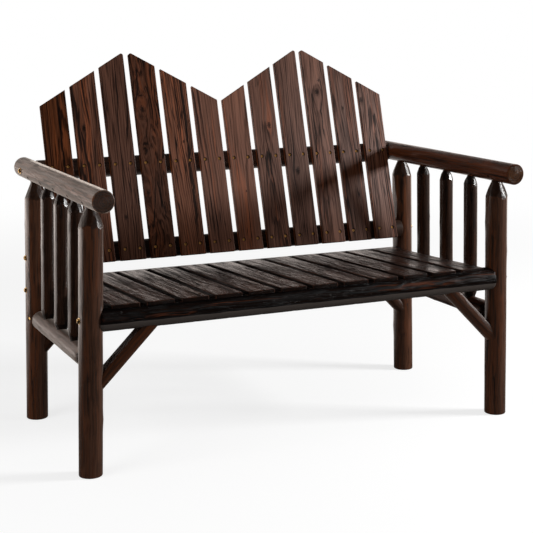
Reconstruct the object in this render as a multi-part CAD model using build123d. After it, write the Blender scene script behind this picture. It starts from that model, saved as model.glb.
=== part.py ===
from build123d import *
import os
from math import cos, pi, sin, sqrt, tan, radians

# Rustic log bench with a slatted seat and a reclined slat back, in millimetres and degrees.
# The model is built with X along the bench (the left end, seen from the front, is -X), +Y to
# the rear and +Z up, Y counted from the line through the front post axes. It is then moved so
# that the origin lies on the ground under the middle of the bench.

# posts
POST_DIA = 60.0
POST_FOOT_SPAN = 1200.0          # left to right post axis, on the ground
POST_ROW_SPACING = 512.0         # front to rear post axis
POST_LEAN = 1.72                 # each end frame leans inward by this much
POST_POINT_LENGTH = 43.0         # carved point of a post, below the arm
POST_TENON_DIA = 24.0
FOOT_CHAMFER = 3.0

# arms
ARM_DIA = 56.0
ARM_AXIS_HEIGHT = 696.0
ARM_INSET = 3.0                  # arm axis inside the post axes, measured at the arm
ARM_FRONT_OVERHANG = 92.0
ARM_REAR_OVERHANG = 141.0
ARM_TENON_DEPTH = 32.0           # how far the post and spindle tenons enter the arm
ARM_END_CHAMFER = 2.5

# lower side rails and spindles
SIDE_RAIL_DIA = 51.0
SIDE_RAIL_HEIGHT = 292.0
SIDE_RAIL_TAPER = 27.0
SIDE_RAIL_TENON_DIA = 30.0
SIDE_RAIL_TENON_LENGTH = 31.0
SPINDLE_COUNT = 3
SPINDLE_DIA = 39.0
SPINDLE_TENON_DIA = 18.0
SPINDLE_TOP_TAPER = 24.0
SPINDLE_FOOT_TAPER = 33.0
SPINDLE_FOOT_TENON = 18.0

# boards of the seat and the back
BOARD_COUNT = 12
BOARD_WIDTH = 74.5
BOARD_END_GAP = 18.0             # outermost boards to the posts, at the seat
BOARD_THICKNESS = 12.0
BOARD_EDGE_ROUND = 1.5
SEAT_EDGE_ROUND = 2.5
SEAT_CORNER_ROUND = 5.0

# seat
SEAT_HEIGHT = 430.0              # top of the front edge
SEAT_TILT = 2.9                  # falls towards the rear
SEAT_FRONT_OVERHANG = 14.0       # front edge ahead of the front post axes
SEAT_REAR_BEARING = 16.6         # length of the boards that lies on the rear rail
SEAT_RAIL_DIA = 64.0
SEAT_RAIL_REBATE = 10.0          # depth of the ledge cut into the top of each seat rail
REAR_SEAT_RAIL_FORWARD = 12.0    # rail axis ahead of the rear post axes
REBATE_END_MARGIN = 6.0          # the ledge runs this far past the outermost boards

# back
BACK_RAKE = 16.6
BACK_RAIL_DIA = 57.0
BACK_RAIL_FLAT = 2.0             # planed off where the boards lie on the rails
LOWER_BACK_RAIL_FORWARD = 9.0    # rail axis ahead of the rear post axes
LOWER_BACK_RAIL_UP = 32.0        # rail axis above the boards' feet, along the board
UPPER_BACK_RAIL_DROP = 2.3       # rail axis below the arm axes that carry it
BACK_FOOT_CLEARANCE = 35.0       # boards' feet above the seat
BACK_PEAK_LENGTH = 603.0         # board length at the two peaks of the top line
BACK_GABLE_ANGLE = 30.0
BACK_PEAK_ROUND = 6.0

# braces under the seat
BRACE_DIA = 42.0
BRACE_FLAT = 8.0                 # planed off the side that faces the corner
BRACE_LEG = 172.0                # corner of the axes to where the brace axis meets each log
DOWEL_DIA = 10.0
DOWEL_LENGTH = 24.0

# housings, bolts and screws
HOUSING_DEPTH = 14.0             # how far a rail end sinks into the log that carries it
RAIL_END_CHAMFER = 4.0
BOLT_DIA = 8.0
BOLT_HEAD_DIA = 13.0
BOLT_HEAD_HEIGHT = 5.0
BOLT_SOCKET_DIA = 5.0
BOLT_SOCKET_DEPTH = 2.8
BOLT_IN_RAIL = 45.0
BOLT_SPOT_DEPTH = 1.2            # flat cut for the head, below the log's outermost line
ARM_BOLT_BACK = 10.0             # arm bolt behind the axis of the upper back rail
SCREW_DIA = 4.5
SCREW_HEAD_DIA = 8.0
SCREW_HEAD_HEIGHT = 2.4
SCREW_SINK = 2.5
SCREW_RECESS_DIA = 10.0
SCREW_DRIVE_WIDTH = 2.6
SCREW_DRIVE_DEPTH = 1.2
BACK_SCREW_LENGTH = 34.0
BACK_SCREW_EDGE = 14.75          # screw axes in from the long edges of a board
SEAT_SCREW_LENGTH = 38.0
SEAT_SCREW_IN_BOARD = 8.0
LOCK_SCREW_SHORT = 2.0           # a lock screw ends this far short of the arm's axis
LOCK_SCREW_ANGLE = 30.0

# clearances
TENON_FIT = 0.3
HOUSING_FIT = 0.3
TOUCH_FIT = 0.2
FASTENER_FIT = 0.15
BORE_END_GAP = 0.5

# sizes that follow from the ones above
post_r = POST_DIA / 2
arm_r = ARM_DIA / 2
side_rail_r = SIDE_RAIL_DIA / 2
spindle_r = SPINDLE_DIA / 2
seat_rail_r = SEAT_RAIL_DIA / 2
back_rail_r = BACK_RAIL_DIA / 2
brace_r = BRACE_DIA / 2
lock_length = arm_r - LOCK_SCREW_SHORT
back_screw_gauge = BOARD_WIDTH - 2 * BACK_SCREW_EDGE
front_y = 0.0
rear_y = POST_ROW_SPACING
past = 2 * (POST_FOOT_SPAN + POST_ROW_SPACING)   # longer than anything it cuts


def frame_x(z):
    """Distance of an end frame's plane from the middle of the bench at height z."""
    return POST_FOOT_SPAN / 2 - z * tan(radians(POST_LEAN))


def leaned(side, y):
    """Foot of an upright of the left (-1) or right (+1) end frame, Z along the upright."""
    return Pos(side * POST_FOOT_SPAN / 2, y, 0) * Rot(0, -side * POST_LEAN, 0)


def up(z):
    """Length along a leaned upright that reaches height z."""
    return z / cos(radians(POST_LEAN))


arm_x = frame_x(ARM_AXIS_HEIGHT) - ARM_INSET
arm_bottom = ARM_AXIS_HEIGHT - arm_r
post_shoulder = arm_bottom - POST_POINT_LENGTH
side_rail_x = frame_x(SIDE_RAIL_HEIGHT)
side_rail_top = SIDE_RAIL_HEIGHT + side_rail_r
spindle_ys = [rear_y * (k + 1) / (SPINDLE_COUNT + 1) for k in range(SPINDLE_COUNT)]

# the row of boards, spread evenly between the posts
row_half = frame_x(SEAT_HEIGHT) - post_r - BOARD_END_GAP
pitch = (2 * row_half - BOARD_WIDTH) / (BOARD_COUNT - 1)
board_xs = [(k - (BOARD_COUNT - 1) / 2) * pitch for k in range(BOARD_COUNT)]

# seat plane: local Y along the boards to the rear, local Z out of the top face
seat_loc = Pos(0, -SEAT_FRONT_OVERHANG, SEAT_HEIGHT) * Rot(-SEAT_TILT, 0, 0)
seat_slope = tan(radians(SEAT_TILT))


def seat_top(y):
    return SEAT_HEIGHT - (y + SEAT_FRONT_OVERHANG) * seat_slope


def seat_rail_z(y):
    """Axis height of a seat rail whose ledge carries the boards at y."""
    under = seat_top(y) - BOARD_THICKNESS / cos(radians(SEAT_TILT))
    return under - (seat_rail_r - SEAT_RAIL_REBATE) / cos(radians(SEAT_TILT))


front_rail_z = seat_rail_z(front_y)
rear_rail_y = rear_y - REAR_SEAT_RAIL_FORWARD
rear_rail_z = seat_rail_z(rear_rail_y)
rear_flat_front = rear_rail_y - sqrt(seat_rail_r ** 2 - (seat_rail_r - SEAT_RAIL_REBATE) ** 2)
seat_rear_y = rear_flat_front + SEAT_REAR_BEARING
seat_length = (seat_rear_y + SEAT_FRONT_OVERHANG) / cos(radians(SEAT_TILT))

# back plane: local Z up along the boards, local Y to the rear, origin at the feet
rake_cos, rake_sin = cos(radians(BACK_RAKE)), sin(radians(BACK_RAKE))
back_reach = BOARD_THICKNESS + back_rail_r - BACK_RAIL_FLAT
lower_rail_y = rear_y - LOWER_BACK_RAIL_FORWARD
back_foot_y = lower_rail_y - back_reach * rake_cos - LOWER_BACK_RAIL_UP * rake_sin
back_foot_z = seat_top(back_foot_y) + BACK_FOOT_CLEARANCE
back_loc = Pos(0, back_foot_y, back_foot_z) * Rot(-BACK_RAKE, 0, 0)
lower_rail_z = back_foot_z + LOWER_BACK_RAIL_UP * rake_cos - back_reach * rake_sin
upper_rail_z = ARM_AXIS_HEIGHT - UPPER_BACK_RAIL_DROP
upper_rail_up = (upper_rail_z - back_foot_z + back_reach * rake_sin) / rake_cos
upper_rail_y = back_foot_y + back_reach * rake_cos + upper_rail_up * rake_sin
peak_x = pitch * BOARD_COUNT / 4
gable_slope = tan(radians(BACK_GABLE_ANGLE))

arm_front_y = front_y - ARM_FRONT_OVERHANG
arm_rear_y = rear_y + ARM_REAR_OVERHANG
origin_y = (arm_front_y + arm_rear_y) / 2


def log_along(plane, radius, length, chamfers=(0, 0)):
    """Straight log from the plane's origin along its normal, its two ends chamfered."""
    c0, c1 = chamfers
    pts = [(0, 0), (radius - c0, 0), (radius, c0), (radius, length - c1),
           (radius - c1, length), (0, length)]
    profile = [p for k, p in enumerate(pts) if k == 0 or p != pts[k - 1]]
    turned = revolve(Plane.XZ * make_face(Polyline(*profile, close=True)), Axis.Z)
    return plane.location * turned


def turned_along(plane, profile):
    """Body of revolution about the plane's normal; profile is (distance, radius) pairs."""
    pts = [(0, profile[0][0])] + [(r, s) for s, r in profile] + [(0, profile[-1][0])]
    turned = revolve(Plane.XZ * make_face(Polyline(*pts, close=True)), Axis.Z)
    return plane.location * turned


def rod(start, direction, radius, length):
    """Plain round bar or bore from a start point along a direction."""
    return extrude(Plane(start, z_dir=direction) * Circle(radius), length)


# fasteners: each is made once along +Z, its head at the bottom, and then placed
def screw(length):
    half = SCREW_DRIVE_WIDTH / 2
    shank = SCREW_DIA / 2
    head = SCREW_HEAD_DIA / 2
    body = turned_along(Plane.XY, [(SCREW_SINK, head), (SCREW_SINK + SCREW_HEAD_HEIGHT, shank),
                                   (length - SCREW_DIA, shank), (length, shank / 4)])
    drive = Pos(0, 0, SCREW_SINK) * extrude(Rectangle(2 * half, half / 2)
                                            + Rectangle(half / 2, 2 * half), SCREW_DRIVE_DEPTH)
    return body - drive


def screw_bore(length, outside=0.0):
    fit = FASTENER_FIT
    recess = SCREW_RECESS_DIA / 2
    shank = SCREW_DIA / 2 + fit
    neck = SCREW_SINK + SCREW_HEAD_HEIGHT
    head = SCREW_HEAD_DIA / 2 + fit
    return turned_along(Plane.XY, [(-outside, recess), (SCREW_SINK, recess), (SCREW_SINK, head),
                                   (neck, shank), (length + BORE_END_GAP, shank)])


def bolt(length):
    """Dome-headed bolt; the head's underside is at Z = 0 and the shank runs up from it."""
    head = extrude(Circle(BOLT_HEAD_DIA / 2), -BOLT_HEAD_HEIGHT)
    head = fillet(head.edges().sort_by(Axis.Z)[0], BOLT_HEAD_HEIGHT * 0.45)
    socket = Pos(0, 0, -BOLT_HEAD_HEIGHT) * extrude(
        RegularPolygon(BOLT_SOCKET_DIA / 2, 6, major_radius=False), BOLT_SOCKET_DEPTH)
    return head + extrude(Circle(BOLT_DIA / 2), length) - socket


def bolt_bore(length):
    return [extrude(Circle(BOLT_DIA / 2 + FASTENER_FIT), length + BORE_END_GAP),
            extrude(Circle(BOLT_HEAD_DIA / 2 + BORE_END_GAP), -BOLT_HEAD_HEIGHT)]


def rail_end_x(carrier_x, carrier_r):
    """Where a rail that is housed in an upright or an arm ends."""
    return carrier_x - carrier_r + HOUSING_DEPTH


# every cross rail: name, axis position, radius, and the log that carries its ends
front_end = rail_end_x(frame_x(front_rail_z), post_r)
rear_end = rail_end_x(frame_x(rear_rail_z), post_r)
lower_end = rail_end_x(frame_x(lower_rail_z), post_r)
upper_end = rail_end_x(arm_x, arm_r)


def cross_log(y, z, radius, end):
    return log_along(Plane((-end, y, z), z_dir=(1, 0, 0)), radius, 2 * end,
                     (RAIL_END_CHAMFER, RAIL_END_CHAMFER))


def housing(side, y, z, radius, end):
    """Round pocket for a rail end, open towards the middle of the bench."""
    start = (side * (end + HOUSING_FIT), y, z)
    return rod(start, (-side, 0, 0), radius + HOUSING_FIT, end)


# bolts: through a post on its axis, or through the arm, into the rail end behind it
def bolt_place(side, y, z, carrier_x, carrier_r):
    start_x = carrier_x + carrier_r - BOLT_SPOT_DEPTH
    return Pos(side * start_x, y, z) * Rot(0, -side * 90, 0)


def bolt_length(carrier_r):
    return 2 * carrier_r - BOLT_SPOT_DEPTH - HOUSING_DEPTH + BOLT_IN_RAIL


rail_bolts = {"front": (front_y, front_rail_z), "rear": (rear_y, rear_rail_z),
              "back": (rear_y, lower_rail_z)}
arm_bolt_y = upper_rail_y + ARM_BOLT_BACK


def rail_bolt_bores(side, key):
    y, z = rail_bolts[key]
    loc = bolt_place(side, y, z, frame_x(z), post_r)
    return [loc * b for b in bolt_bore(bolt_length(post_r))]


def arm_bolt_bores(side):
    loc = bolt_place(side, arm_bolt_y, upper_rail_z, arm_x, arm_r)
    return [loc * b for b in bolt_bore(bolt_length(arm_r))]


# lock screws hold the tenons: in the arm from the outer underside, and one more from the
# inner side at each front post; in the posts beside the side rail tenons
def arm_lock(side, y, inner=False):
    a = radians(LOCK_SCREW_ANGLE)
    out = -side if inner else side
    direction = (-out * cos(a), 0, sin(a))
    start = (side * arm_x + out * arm_r * cos(a), y, ARM_AXIS_HEIGHT - arm_r * sin(a))
    return Plane(start, z_dir=direction).location


def side_lock(side, rear):
    a = radians(LOCK_SCREW_ANGLE)
    y0, turn = (rear_y, -1) if rear else (front_y, 1)
    start = (side * (side_rail_x + post_r * cos(a)), y0 + turn * post_r * sin(a), SIDE_RAIL_HEIGHT)
    return Plane(start, z_dir=(-side * cos(a), -turn * sin(a), 0)).location


upright_ys = [front_y] + spindle_ys + [rear_y]


def arm_locks(side):
    return [arm_lock(side, y) for y in upright_ys] + [arm_lock(side, front_y, inner=True)]


def lock_bores(places):
    return [p * screw_bore(lock_length, outside=SCREW_SINK) for p in places]


# braces: at 45 degrees from a post to the seat rail above it
brace_ys = {"front": front_y, "rear": (rear_y + rear_rail_y) / 2}
brace_rails = {"front": (front_y, front_rail_z), "rear": (rear_rail_y, rear_rail_z)}


def brace_corner(row):
    z = brace_rails[row][1]
    return frame_x(z), z


def dowel_places(side, row):
    """Hidden dowels from the brace into the post and into the rail, each centred on the joint."""
    cx, cz = brace_corner(row)
    total = cx + cz - BRACE_LEG
    post_z = total - frame_x(total - cx) + post_r
    post_face = frame_x(post_z) - post_r
    rail_face = cz - seat_rail_r
    y = brace_ys[row]
    into_post = ((side * (post_face - DOWEL_LENGTH / 2), y, post_z), (side, 0, 0))
    into_rail = ((side * (total - rail_face), y, rail_face - DOWEL_LENGTH / 2), (0, 0, 1))
    return [into_post, into_rail]


def dowels(side, row):
    return [rod(p, d, DOWEL_DIA / 2, DOWEL_LENGTH) for p, d in dowel_places(side, row)]


def dowel_bores(side, row):
    bores = []
    for (x, y, z), (dx, dy, dz) in dowel_places(side, row):
        g = BORE_END_GAP
        bores.append(rod((x - g * dx, y, z - g * dz), (dx, dy, dz),
                         DOWEL_DIA / 2 + FASTENER_FIT, DOWEL_LENGTH + 2 * g))
    return bores


def brace(side, row):
    cx, cz = brace_corner(row)
    y = brace_ys[row]
    s = sqrt(0.5)
    reach = BRACE_LEG * s
    mid = (side * (cx - BRACE_LEG / 2), y, cz - BRACE_LEG / 2)
    along = (-side * s, 0, s)
    log = rod(tuple(m - reach * a for m, a in zip(mid, along)), along, brace_r, 2 * reach)
    outward = Plane(mid, x_dir=along, z_dir=(side * s, 0, s))
    flat = outward.location * Pos(0, 0, brace_r - BRACE_FLAT) * Box(
        4 * reach, past, past, align=(Align.CENTER, Align.CENTER, Align.MIN))
    post_cut = leaned(side, rear_y if row == "rear" else front_y) * extrude(
        Circle(post_r + TOUCH_FIT), up(SEAT_HEIGHT))
    beyond = Pos(side * cx, y, cz) * Box(past, past, past, align=(
        Align.MIN if side > 0 else Align.MAX, Align.CENTER, Align.CENTER))
    rail_y, rail_z = brace_rails[row]
    rail_cut = rod((-cx, rail_y, rail_z), (1, 0, 0), seat_rail_r + TOUCH_FIT, 2 * cx)
    above = Pos(0, y, cz) * Box(past, past, past, align=(
        Align.CENTER, Align.CENTER, Align.MIN))
    body = log - flat - beyond - above - post_cut - rail_cut - dowel_bores(side, row)
    return body.solids().sort_by(SortBy.VOLUME)[-1]


def screw_rows_back(rail_up):
    """Places of the board screws along one back rail, head at the front face."""
    places = []
    for x in board_xs:
        for gauge in (-1, 1):
            at = Pos(x + gauge * back_screw_gauge / 2, 0, rail_up)
            places.append(back_loc * at * Rot(-90, 0, 0))
    return places


# seat screws come up from counterbores in the rails, one to a board at each end
seat_screw_ys = {"front": front_y, "rear": (rear_flat_front + seat_rear_y) / 2}


def seat_screw_places(row):
    along = (seat_screw_ys[row] + SEAT_FRONT_OVERHANG) / cos(radians(SEAT_TILT))
    head = -BOARD_THICKNESS + SEAT_SCREW_IN_BOARD - SEAT_SCREW_LENGTH
    return [seat_loc * Pos(x, along, head) for x in board_xs]


def post(side, rear):
    y = rear_y if rear else front_y
    neck = up(arm_bottom) - TOUCH_FIT
    tip = up(arm_bottom + ARM_TENON_DEPTH)
    profile = [(-post_r, post_r), (up(post_shoulder), post_r),
               (neck, POST_TENON_DIA / 2), (tip, POST_TENON_DIA / 2)]
    body = leaned(side, y) * turned_along(Plane.XY, profile)
    body -= Box(past, past, past, align=(Align.CENTER, Align.CENTER, Align.MAX))
    body = chamfer(body.edges().sort_by(Axis.Z)[0], FOOT_CHAMFER)
    tenon_y = y - post_r if rear else y + post_r
    inward = -1 if rear else 1
    socket = rod((side * side_rail_x, tenon_y + inward * BORE_END_GAP, SIDE_RAIL_HEIGHT),
                 (0, -inward, 0), SIDE_RAIL_TENON_DIA / 2 + TENON_FIT,
                 SIDE_RAIL_TENON_LENGTH + 2 * BORE_END_GAP)
    cuts = [socket]
    if rear:
        cuts.append(housing(side, rear_rail_y, rear_rail_z, seat_rail_r, rear_end))
        cuts.append(housing(side, lower_rail_y, lower_rail_z, back_rail_r, lower_end))
        cuts += rail_bolt_bores(side, "rear") + rail_bolt_bores(side, "back")
    else:
        cuts.append(housing(side, front_y, front_rail_z, seat_rail_r, front_end))
        cuts += rail_bolt_bores(side, "front")
    cuts += dowel_bores(side, "rear" if rear else "front")
    cuts += lock_bores([side_lock(side, rear), arm_lock(side, y)])
    if not rear:
        cuts += lock_bores([arm_lock(side, y, inner=True)])
    return body - cuts


def arm(side):
    start = Plane((side * arm_x, arm_front_y, ARM_AXIS_HEIGHT), z_dir=(0, 1, 0))
    body = log_along(start, arm_r, arm_rear_y - arm_front_y, (ARM_END_CHAMFER, ARM_END_CHAMFER))
    cuts = []
    for y in upright_ys:
        dia = POST_TENON_DIA if y in (front_y, rear_y) else SPINDLE_TENON_DIA
        bore = extrude(Circle(dia / 2 + TENON_FIT), arm_r + ARM_TENON_DEPTH + BORE_END_GAP)
        cuts.append(leaned(side, y) * Pos(0, 0, up(arm_bottom) - arm_r) * bore)
    cuts.append(housing(side, upper_rail_y, upper_rail_z, back_rail_r, upper_end))
    cuts += arm_bolt_bores(side) + lock_bores(arm_locks(side))
    return body - cuts


def side_rail(side):
    inner = post_r + TOUCH_FIT
    r0 = SIDE_RAIL_TENON_DIA / 2
    start_y = front_y + post_r - SIDE_RAIL_TENON_LENGTH
    s = [front_y + inner - start_y, front_y + inner + SIDE_RAIL_TAPER - start_y,
         rear_y - inner - SIDE_RAIL_TAPER - start_y, rear_y - inner - start_y]
    length = rear_y - post_r + SIDE_RAIL_TENON_LENGTH - start_y
    start = Plane((side * side_rail_x, start_y, SIDE_RAIL_HEIGHT), z_dir=(0, 1, 0))
    body = turned_along(start, [(0, r0), (s[0], r0), (s[1], side_rail_r), (s[2], side_rail_r),
                                (s[3], r0), (length, r0)])
    cuts = []
    for y in spindle_ys:
        bore = extrude(Circle(SPINDLE_TENON_DIA / 2 + TENON_FIT),
                       SPINDLE_FOOT_TENON + BORE_END_GAP + side_rail_r)
        foot = up(side_rail_top) - SPINDLE_FOOT_TENON - BORE_END_GAP
        cuts.append(leaned(side, y) * Pos(0, 0, foot) * bore)
    cuts += lock_bores([side_lock(side, False), side_lock(side, True)])
    return body - cuts


def spindle(side, y):
    r0 = SPINDLE_TENON_DIA / 2
    foot = up(side_rail_top)
    neck = up(arm_bottom) - TOUCH_FIT
    tip = up(arm_bottom + ARM_TENON_DEPTH)
    profile = [(foot - SPINDLE_FOOT_TENON, r0), (foot + TOUCH_FIT, r0),
               (foot + TOUCH_FIT + SPINDLE_FOOT_TAPER, spindle_r),
               (neck - SPINDLE_TOP_TAPER, spindle_r), (neck, r0), (tip, r0)]
    return leaned(side, y) * turned_along(Plane.XY, profile) - lock_bores([arm_lock(side, y)])


def ledge(half_length, from_y, to_y):
    """Space above the seat boards' undersides, from_y to_y along the boards."""
    return seat_loc * Pos(0, from_y, -BOARD_THICKNESS) * Box(
        2 * half_length, to_y - from_y, seat_rail_r * 2,
        align=(Align.CENTER, Align.MIN, Align.MIN))


def seat_rail(row):
    y, z = brace_rails[row]
    end = front_end if row == "front" else rear_end
    body = cross_log(y, z, seat_rail_r, end)
    half = row_half + REBATE_END_MARGIN
    reach = 3 * SEAT_RAIL_DIA
    if row == "front":
        cuts = [ledge(half, -HOUSING_FIT, reach)]
    else:
        cuts = [ledge(half, seat_length - reach, seat_length + HOUSING_FIT)]
    for side in (-1, 1):
        cuts += rail_bolt_bores(side, row) + dowel_bores(side, row)
    drop = SEAT_RAIL_DIA
    cuts += [p * screw_bore(SEAT_SCREW_LENGTH, outside=drop) for p in seat_screw_places(row)]
    return body - cuts


def back_rail(name):
    if name == "lower":
        y, z, end, rail_up = lower_rail_y, lower_rail_z, lower_end, LOWER_BACK_RAIL_UP
    else:
        y, z, end, rail_up = upper_rail_y, upper_rail_z, upper_end, upper_rail_up
    body = cross_log(y, z, back_rail_r, end)
    half = row_half + REBATE_END_MARGIN
    plane_off = back_loc * Pos(0, BOARD_THICKNESS, rail_up) * Box(
        2 * half, BACK_RAIL_DIA, 2 * BACK_RAIL_DIA, align=(Align.CENTER, Align.MAX, Align.CENTER))
    cuts = [plane_off]
    for side in (-1, 1):
        cuts += rail_bolt_bores(side, "back") if name == "lower" else arm_bolt_bores(side)
    cuts += [p * screw_bore(BACK_SCREW_LENGTH) for p in screw_rows_back(rail_up)]
    return body - cuts


def board_top(x):
    """Length of a back board at x, from the two gables of the top line."""
    return BACK_PEAK_LENGTH - abs(abs(x) - peak_x) * gable_slope


def back_board(k):
    x = board_xs[k]
    x0, x1 = x - BOARD_WIDTH / 2, x + BOARD_WIDTH / 2
    turns = [t for t in (peak_x, 0, -peak_x) if x0 < t < x1]
    top = [(t, board_top(t)) for t in [x1] + turns + [x0]]
    outline = make_face(Polyline((x0, 0), (x1, 0), *top, close=True))
    at_peak = [v for v in outline.vertices()
               if v.Y > 0 and abs(abs(v.X) - peak_x) < pitch - BOARD_WIDTH]
    if at_peak:
        outline = fillet(at_peak, BACK_PEAK_ROUND)
    body = extrude(Plane.XZ * outline, -BOARD_THICKNESS)
    front = body.faces().sort_by(Axis.Y)[0]
    body = fillet(front.edges(), BOARD_EDGE_ROUND)
    cuts = []
    for rail_up in (LOWER_BACK_RAIL_UP, upper_rail_up):
        for gauge in (-1, 1):
            at = Pos(x + gauge * back_screw_gauge / 2, 0, rail_up) * Rot(-90, 0, 0)
            cuts.append(at * screw_bore(BACK_SCREW_LENGTH, outside=SCREW_SINK))
    return back_loc * (body - cuts)


def seat_board(k):
    x = board_xs[k]
    body = Pos(x, 0, 0) * Box(BOARD_WIDTH, seat_length, BOARD_THICKNESS,
                              align=(Align.CENTER, Align.MIN, Align.MAX))
    corners = body.edges().filter_by(Axis.Z)
    body = fillet(corners, SEAT_CORNER_ROUND)
    top = body.faces().sort_by(Axis.Z)[-1]
    body = seat_loc * fillet(top.edges(), SEAT_EDGE_ROUND)
    cuts = [seat_screw_places(row)[k] * screw_bore(SEAT_SCREW_LENGTH) for row in ("front", "rear")]
    return body - cuts


def save(node, *solids):
    """Write one node, moved so that the origin is under the middle of the bench."""
    moved = [Pos(0, -origin_y, 0) * s for s in solids]
    shape = moved[0] if len(moved) == 1 else Compound(children=[x for m in moved for x in m.solids()])
    export_step(shape, "parts/" + node + ".step")


os.makedirs("parts", exist_ok=True)
sides = {"left": -1, "right": 1}

for end_name, side in sides.items():
    save("post_front_" + end_name, post(side, False))
    save("post_rear_" + end_name, post(side, True))
    save("arm_" + end_name, arm(side))
    save("side_rail_" + end_name, side_rail(side))
    for n, y in enumerate(spindle_ys):
        save(f"spindle_{end_name}_{n + 1}", spindle(side, y))
    for row in ("front", "rear"):
        save(f"brace_{row}_{end_name}", brace(side, row))

save("seat_rail_front", seat_rail("front"))
save("seat_rail_rear", seat_rail("rear"))
save("back_rail_lower", back_rail("lower"))
save("back_rail_upper", back_rail("upper"))
for k in range(BOARD_COUNT):
    save(f"back_slat_{k + 1:02d}", back_board(k))
    save(f"seat_slat_{k + 1:02d}", seat_board(k))

post_bolt = bolt(bolt_length(post_r))
arm_bolt = bolt(bolt_length(arm_r))
save("rail_bolts", *[bolt_place(side, y, z, frame_x(z), post_r) * post_bolt
                     for side in sides.values() for y, z in rail_bolts.values()])
save("arm_bolts", *[bolt_place(side, arm_bolt_y, upper_rail_z, arm_x, arm_r) * arm_bolt
                    for side in sides.values()])
back_screw = screw(BACK_SCREW_LENGTH)
seat_screw = screw(SEAT_SCREW_LENGTH)
lock_screw = screw(lock_length)
save("back_screws_lower", *[p * back_screw for p in screw_rows_back(LOWER_BACK_RAIL_UP)])
save("back_screws_upper", *[p * back_screw for p in screw_rows_back(upper_rail_up)])
save("seat_screws_front", *[p * seat_screw for p in seat_screw_places("front")])
save("seat_screws_rear", *[p * seat_screw for p in seat_screw_places("rear")])
save("arm_screws", *[p * lock_screw for side in sides.values() for p in arm_locks(side)])
save("side_rail_screws", *[side_lock(side, rear) * lock_screw
                           for side in sides.values() for rear in (False, True)])
save("brace_dowels", *[d for side in sides.values() for row in brace_ys for d in dowels(side, row)])
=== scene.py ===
import math
import random

import bpy
from bpy.props import FloatProperty, FloatVectorProperty, IntProperty, PointerProperty
from mathutils import Euler, Matrix, Vector


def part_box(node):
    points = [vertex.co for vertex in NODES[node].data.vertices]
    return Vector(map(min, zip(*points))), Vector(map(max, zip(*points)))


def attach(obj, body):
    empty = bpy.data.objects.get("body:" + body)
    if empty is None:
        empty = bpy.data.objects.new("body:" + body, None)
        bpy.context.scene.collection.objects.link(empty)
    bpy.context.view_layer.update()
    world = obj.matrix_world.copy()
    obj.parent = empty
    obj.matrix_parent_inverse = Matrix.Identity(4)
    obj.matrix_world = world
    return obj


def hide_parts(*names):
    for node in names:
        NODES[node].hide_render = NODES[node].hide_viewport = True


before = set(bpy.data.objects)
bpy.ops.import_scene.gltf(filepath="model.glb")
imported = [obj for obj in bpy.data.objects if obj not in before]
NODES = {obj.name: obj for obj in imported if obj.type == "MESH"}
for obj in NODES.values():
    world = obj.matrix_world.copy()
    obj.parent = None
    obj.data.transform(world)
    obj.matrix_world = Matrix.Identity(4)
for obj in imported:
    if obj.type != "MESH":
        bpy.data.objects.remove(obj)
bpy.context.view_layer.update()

bl_info = {
    "name": "Rustic Log Bench",
    "version": (1, 0, 0),
    "blender": (4, 5, 0),
    "location": "View3D > Sidebar > Log Bench",
    "description": "Dresses the log bench with burnt wood and brass, and sets it on a studio floor",
    "category": "Object",
}

MM = 0.001

# Lines of the bench as its CAD source draws them, in metres.
SIDES = {"left": -1, "right": 1}
POST_LEAN = math.radians(1.72)
BACK_RAKE = math.radians(16.6)
SEAT_TILT = math.radians(2.9)
BOARD_PITCH = 0.091243
BOARD_HALF_WIDTH, BOARD_HALF_DEPTH = 0.03725, 0.006
MIDDLE_BOARD = 6.5                      # between the sixth board and the seventh
BACK_SLAT_FOOT = (0.1765, 0.4411)       # to the back, and up
SEAT_SLAT_FRONT = (-0.2945, 0.424)      # the same
POST_RADIUS, SPINDLE_RADIUS, SIDE_RAIL_RADIUS = 0.030, 0.0195, 0.0255
POST_FOOT = 0.600
POST_ROWS = {"front": -0.2805, "rear": 0.2315}
SPINDLE_ROWS = (-0.1525, -0.0245, 0.1035)
POINT_TOP = 0.6675                      # where a carved point meets its tenon, under the arm
ARM_X, ARM_Z = 0.5761, 0.696
SIDE_RAIL_X, SIDE_RAIL_Z = 0.5912, 0.292
SEAT_RAILS = {"front": (-0.2805, 0.3956), "rear": (0.2195, 0.370)}          # to the back, and up
BACK_RAILS = {"lower": (0.2225, 0.461), "upper": (0.2919, 0.6937)}          # the same
SEAT_BOLTS = {"front": 0.3952, "rear": 0.3699}
BACK_BOLT = 0.4608
BOLT_FLAT = 0.0288                      # from the middle of a post out to the flat under a bolt
ARM_BOLT = (0.6035, 0.3019, 0.6937)     # out along the bench, to the back, and up
LOCK_SCREW = (0.6151, 0.0138)           # out along the bench, and from the post's middle inward
LOCK_SCREW_WAY = (0.866, 0.5)           # the same for the way it faces, 30 degrees inward

# Turns that lay a log's own length along the bench, and from its front to its back.
ALONG_BENCH = (0, math.pi / 2, 0)
FRONT_TO_BACK = (-math.pi / 2, 0, 0)


def bolt_flat(height):
    """How far out from the middle of the bench the flat under a post's bolt lies, at one height."""
    return POST_FOOT - height * math.tan(POST_LEAN) + BOLT_FLAT


def paint(red, green, blue):
    """A shop colour, 0 to 255, as the linear value that shaders take."""
    linear = [c / 255 for c in (red, green, blue)]
    return tuple(c / 12.92 if c <= 0.04045 else ((c + 0.055) / 1.055) ** 2.4 for c in linear)


def ramp(value, low, high):
    """0 up to low, 1 from high on, and a straight rise between them."""
    return min(1, max(0, (value - low) / (high - low)))


def toned(tone, strength):
    """A tone made lighter or darker, by one share or by one each for its red, green and blue."""
    shares = strength if isinstance(strength, tuple) else (strength,) * 3
    return tuple(c * share for c, share in zip(tone, shares))


# ---------------------------------------------------------------- settings

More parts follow.
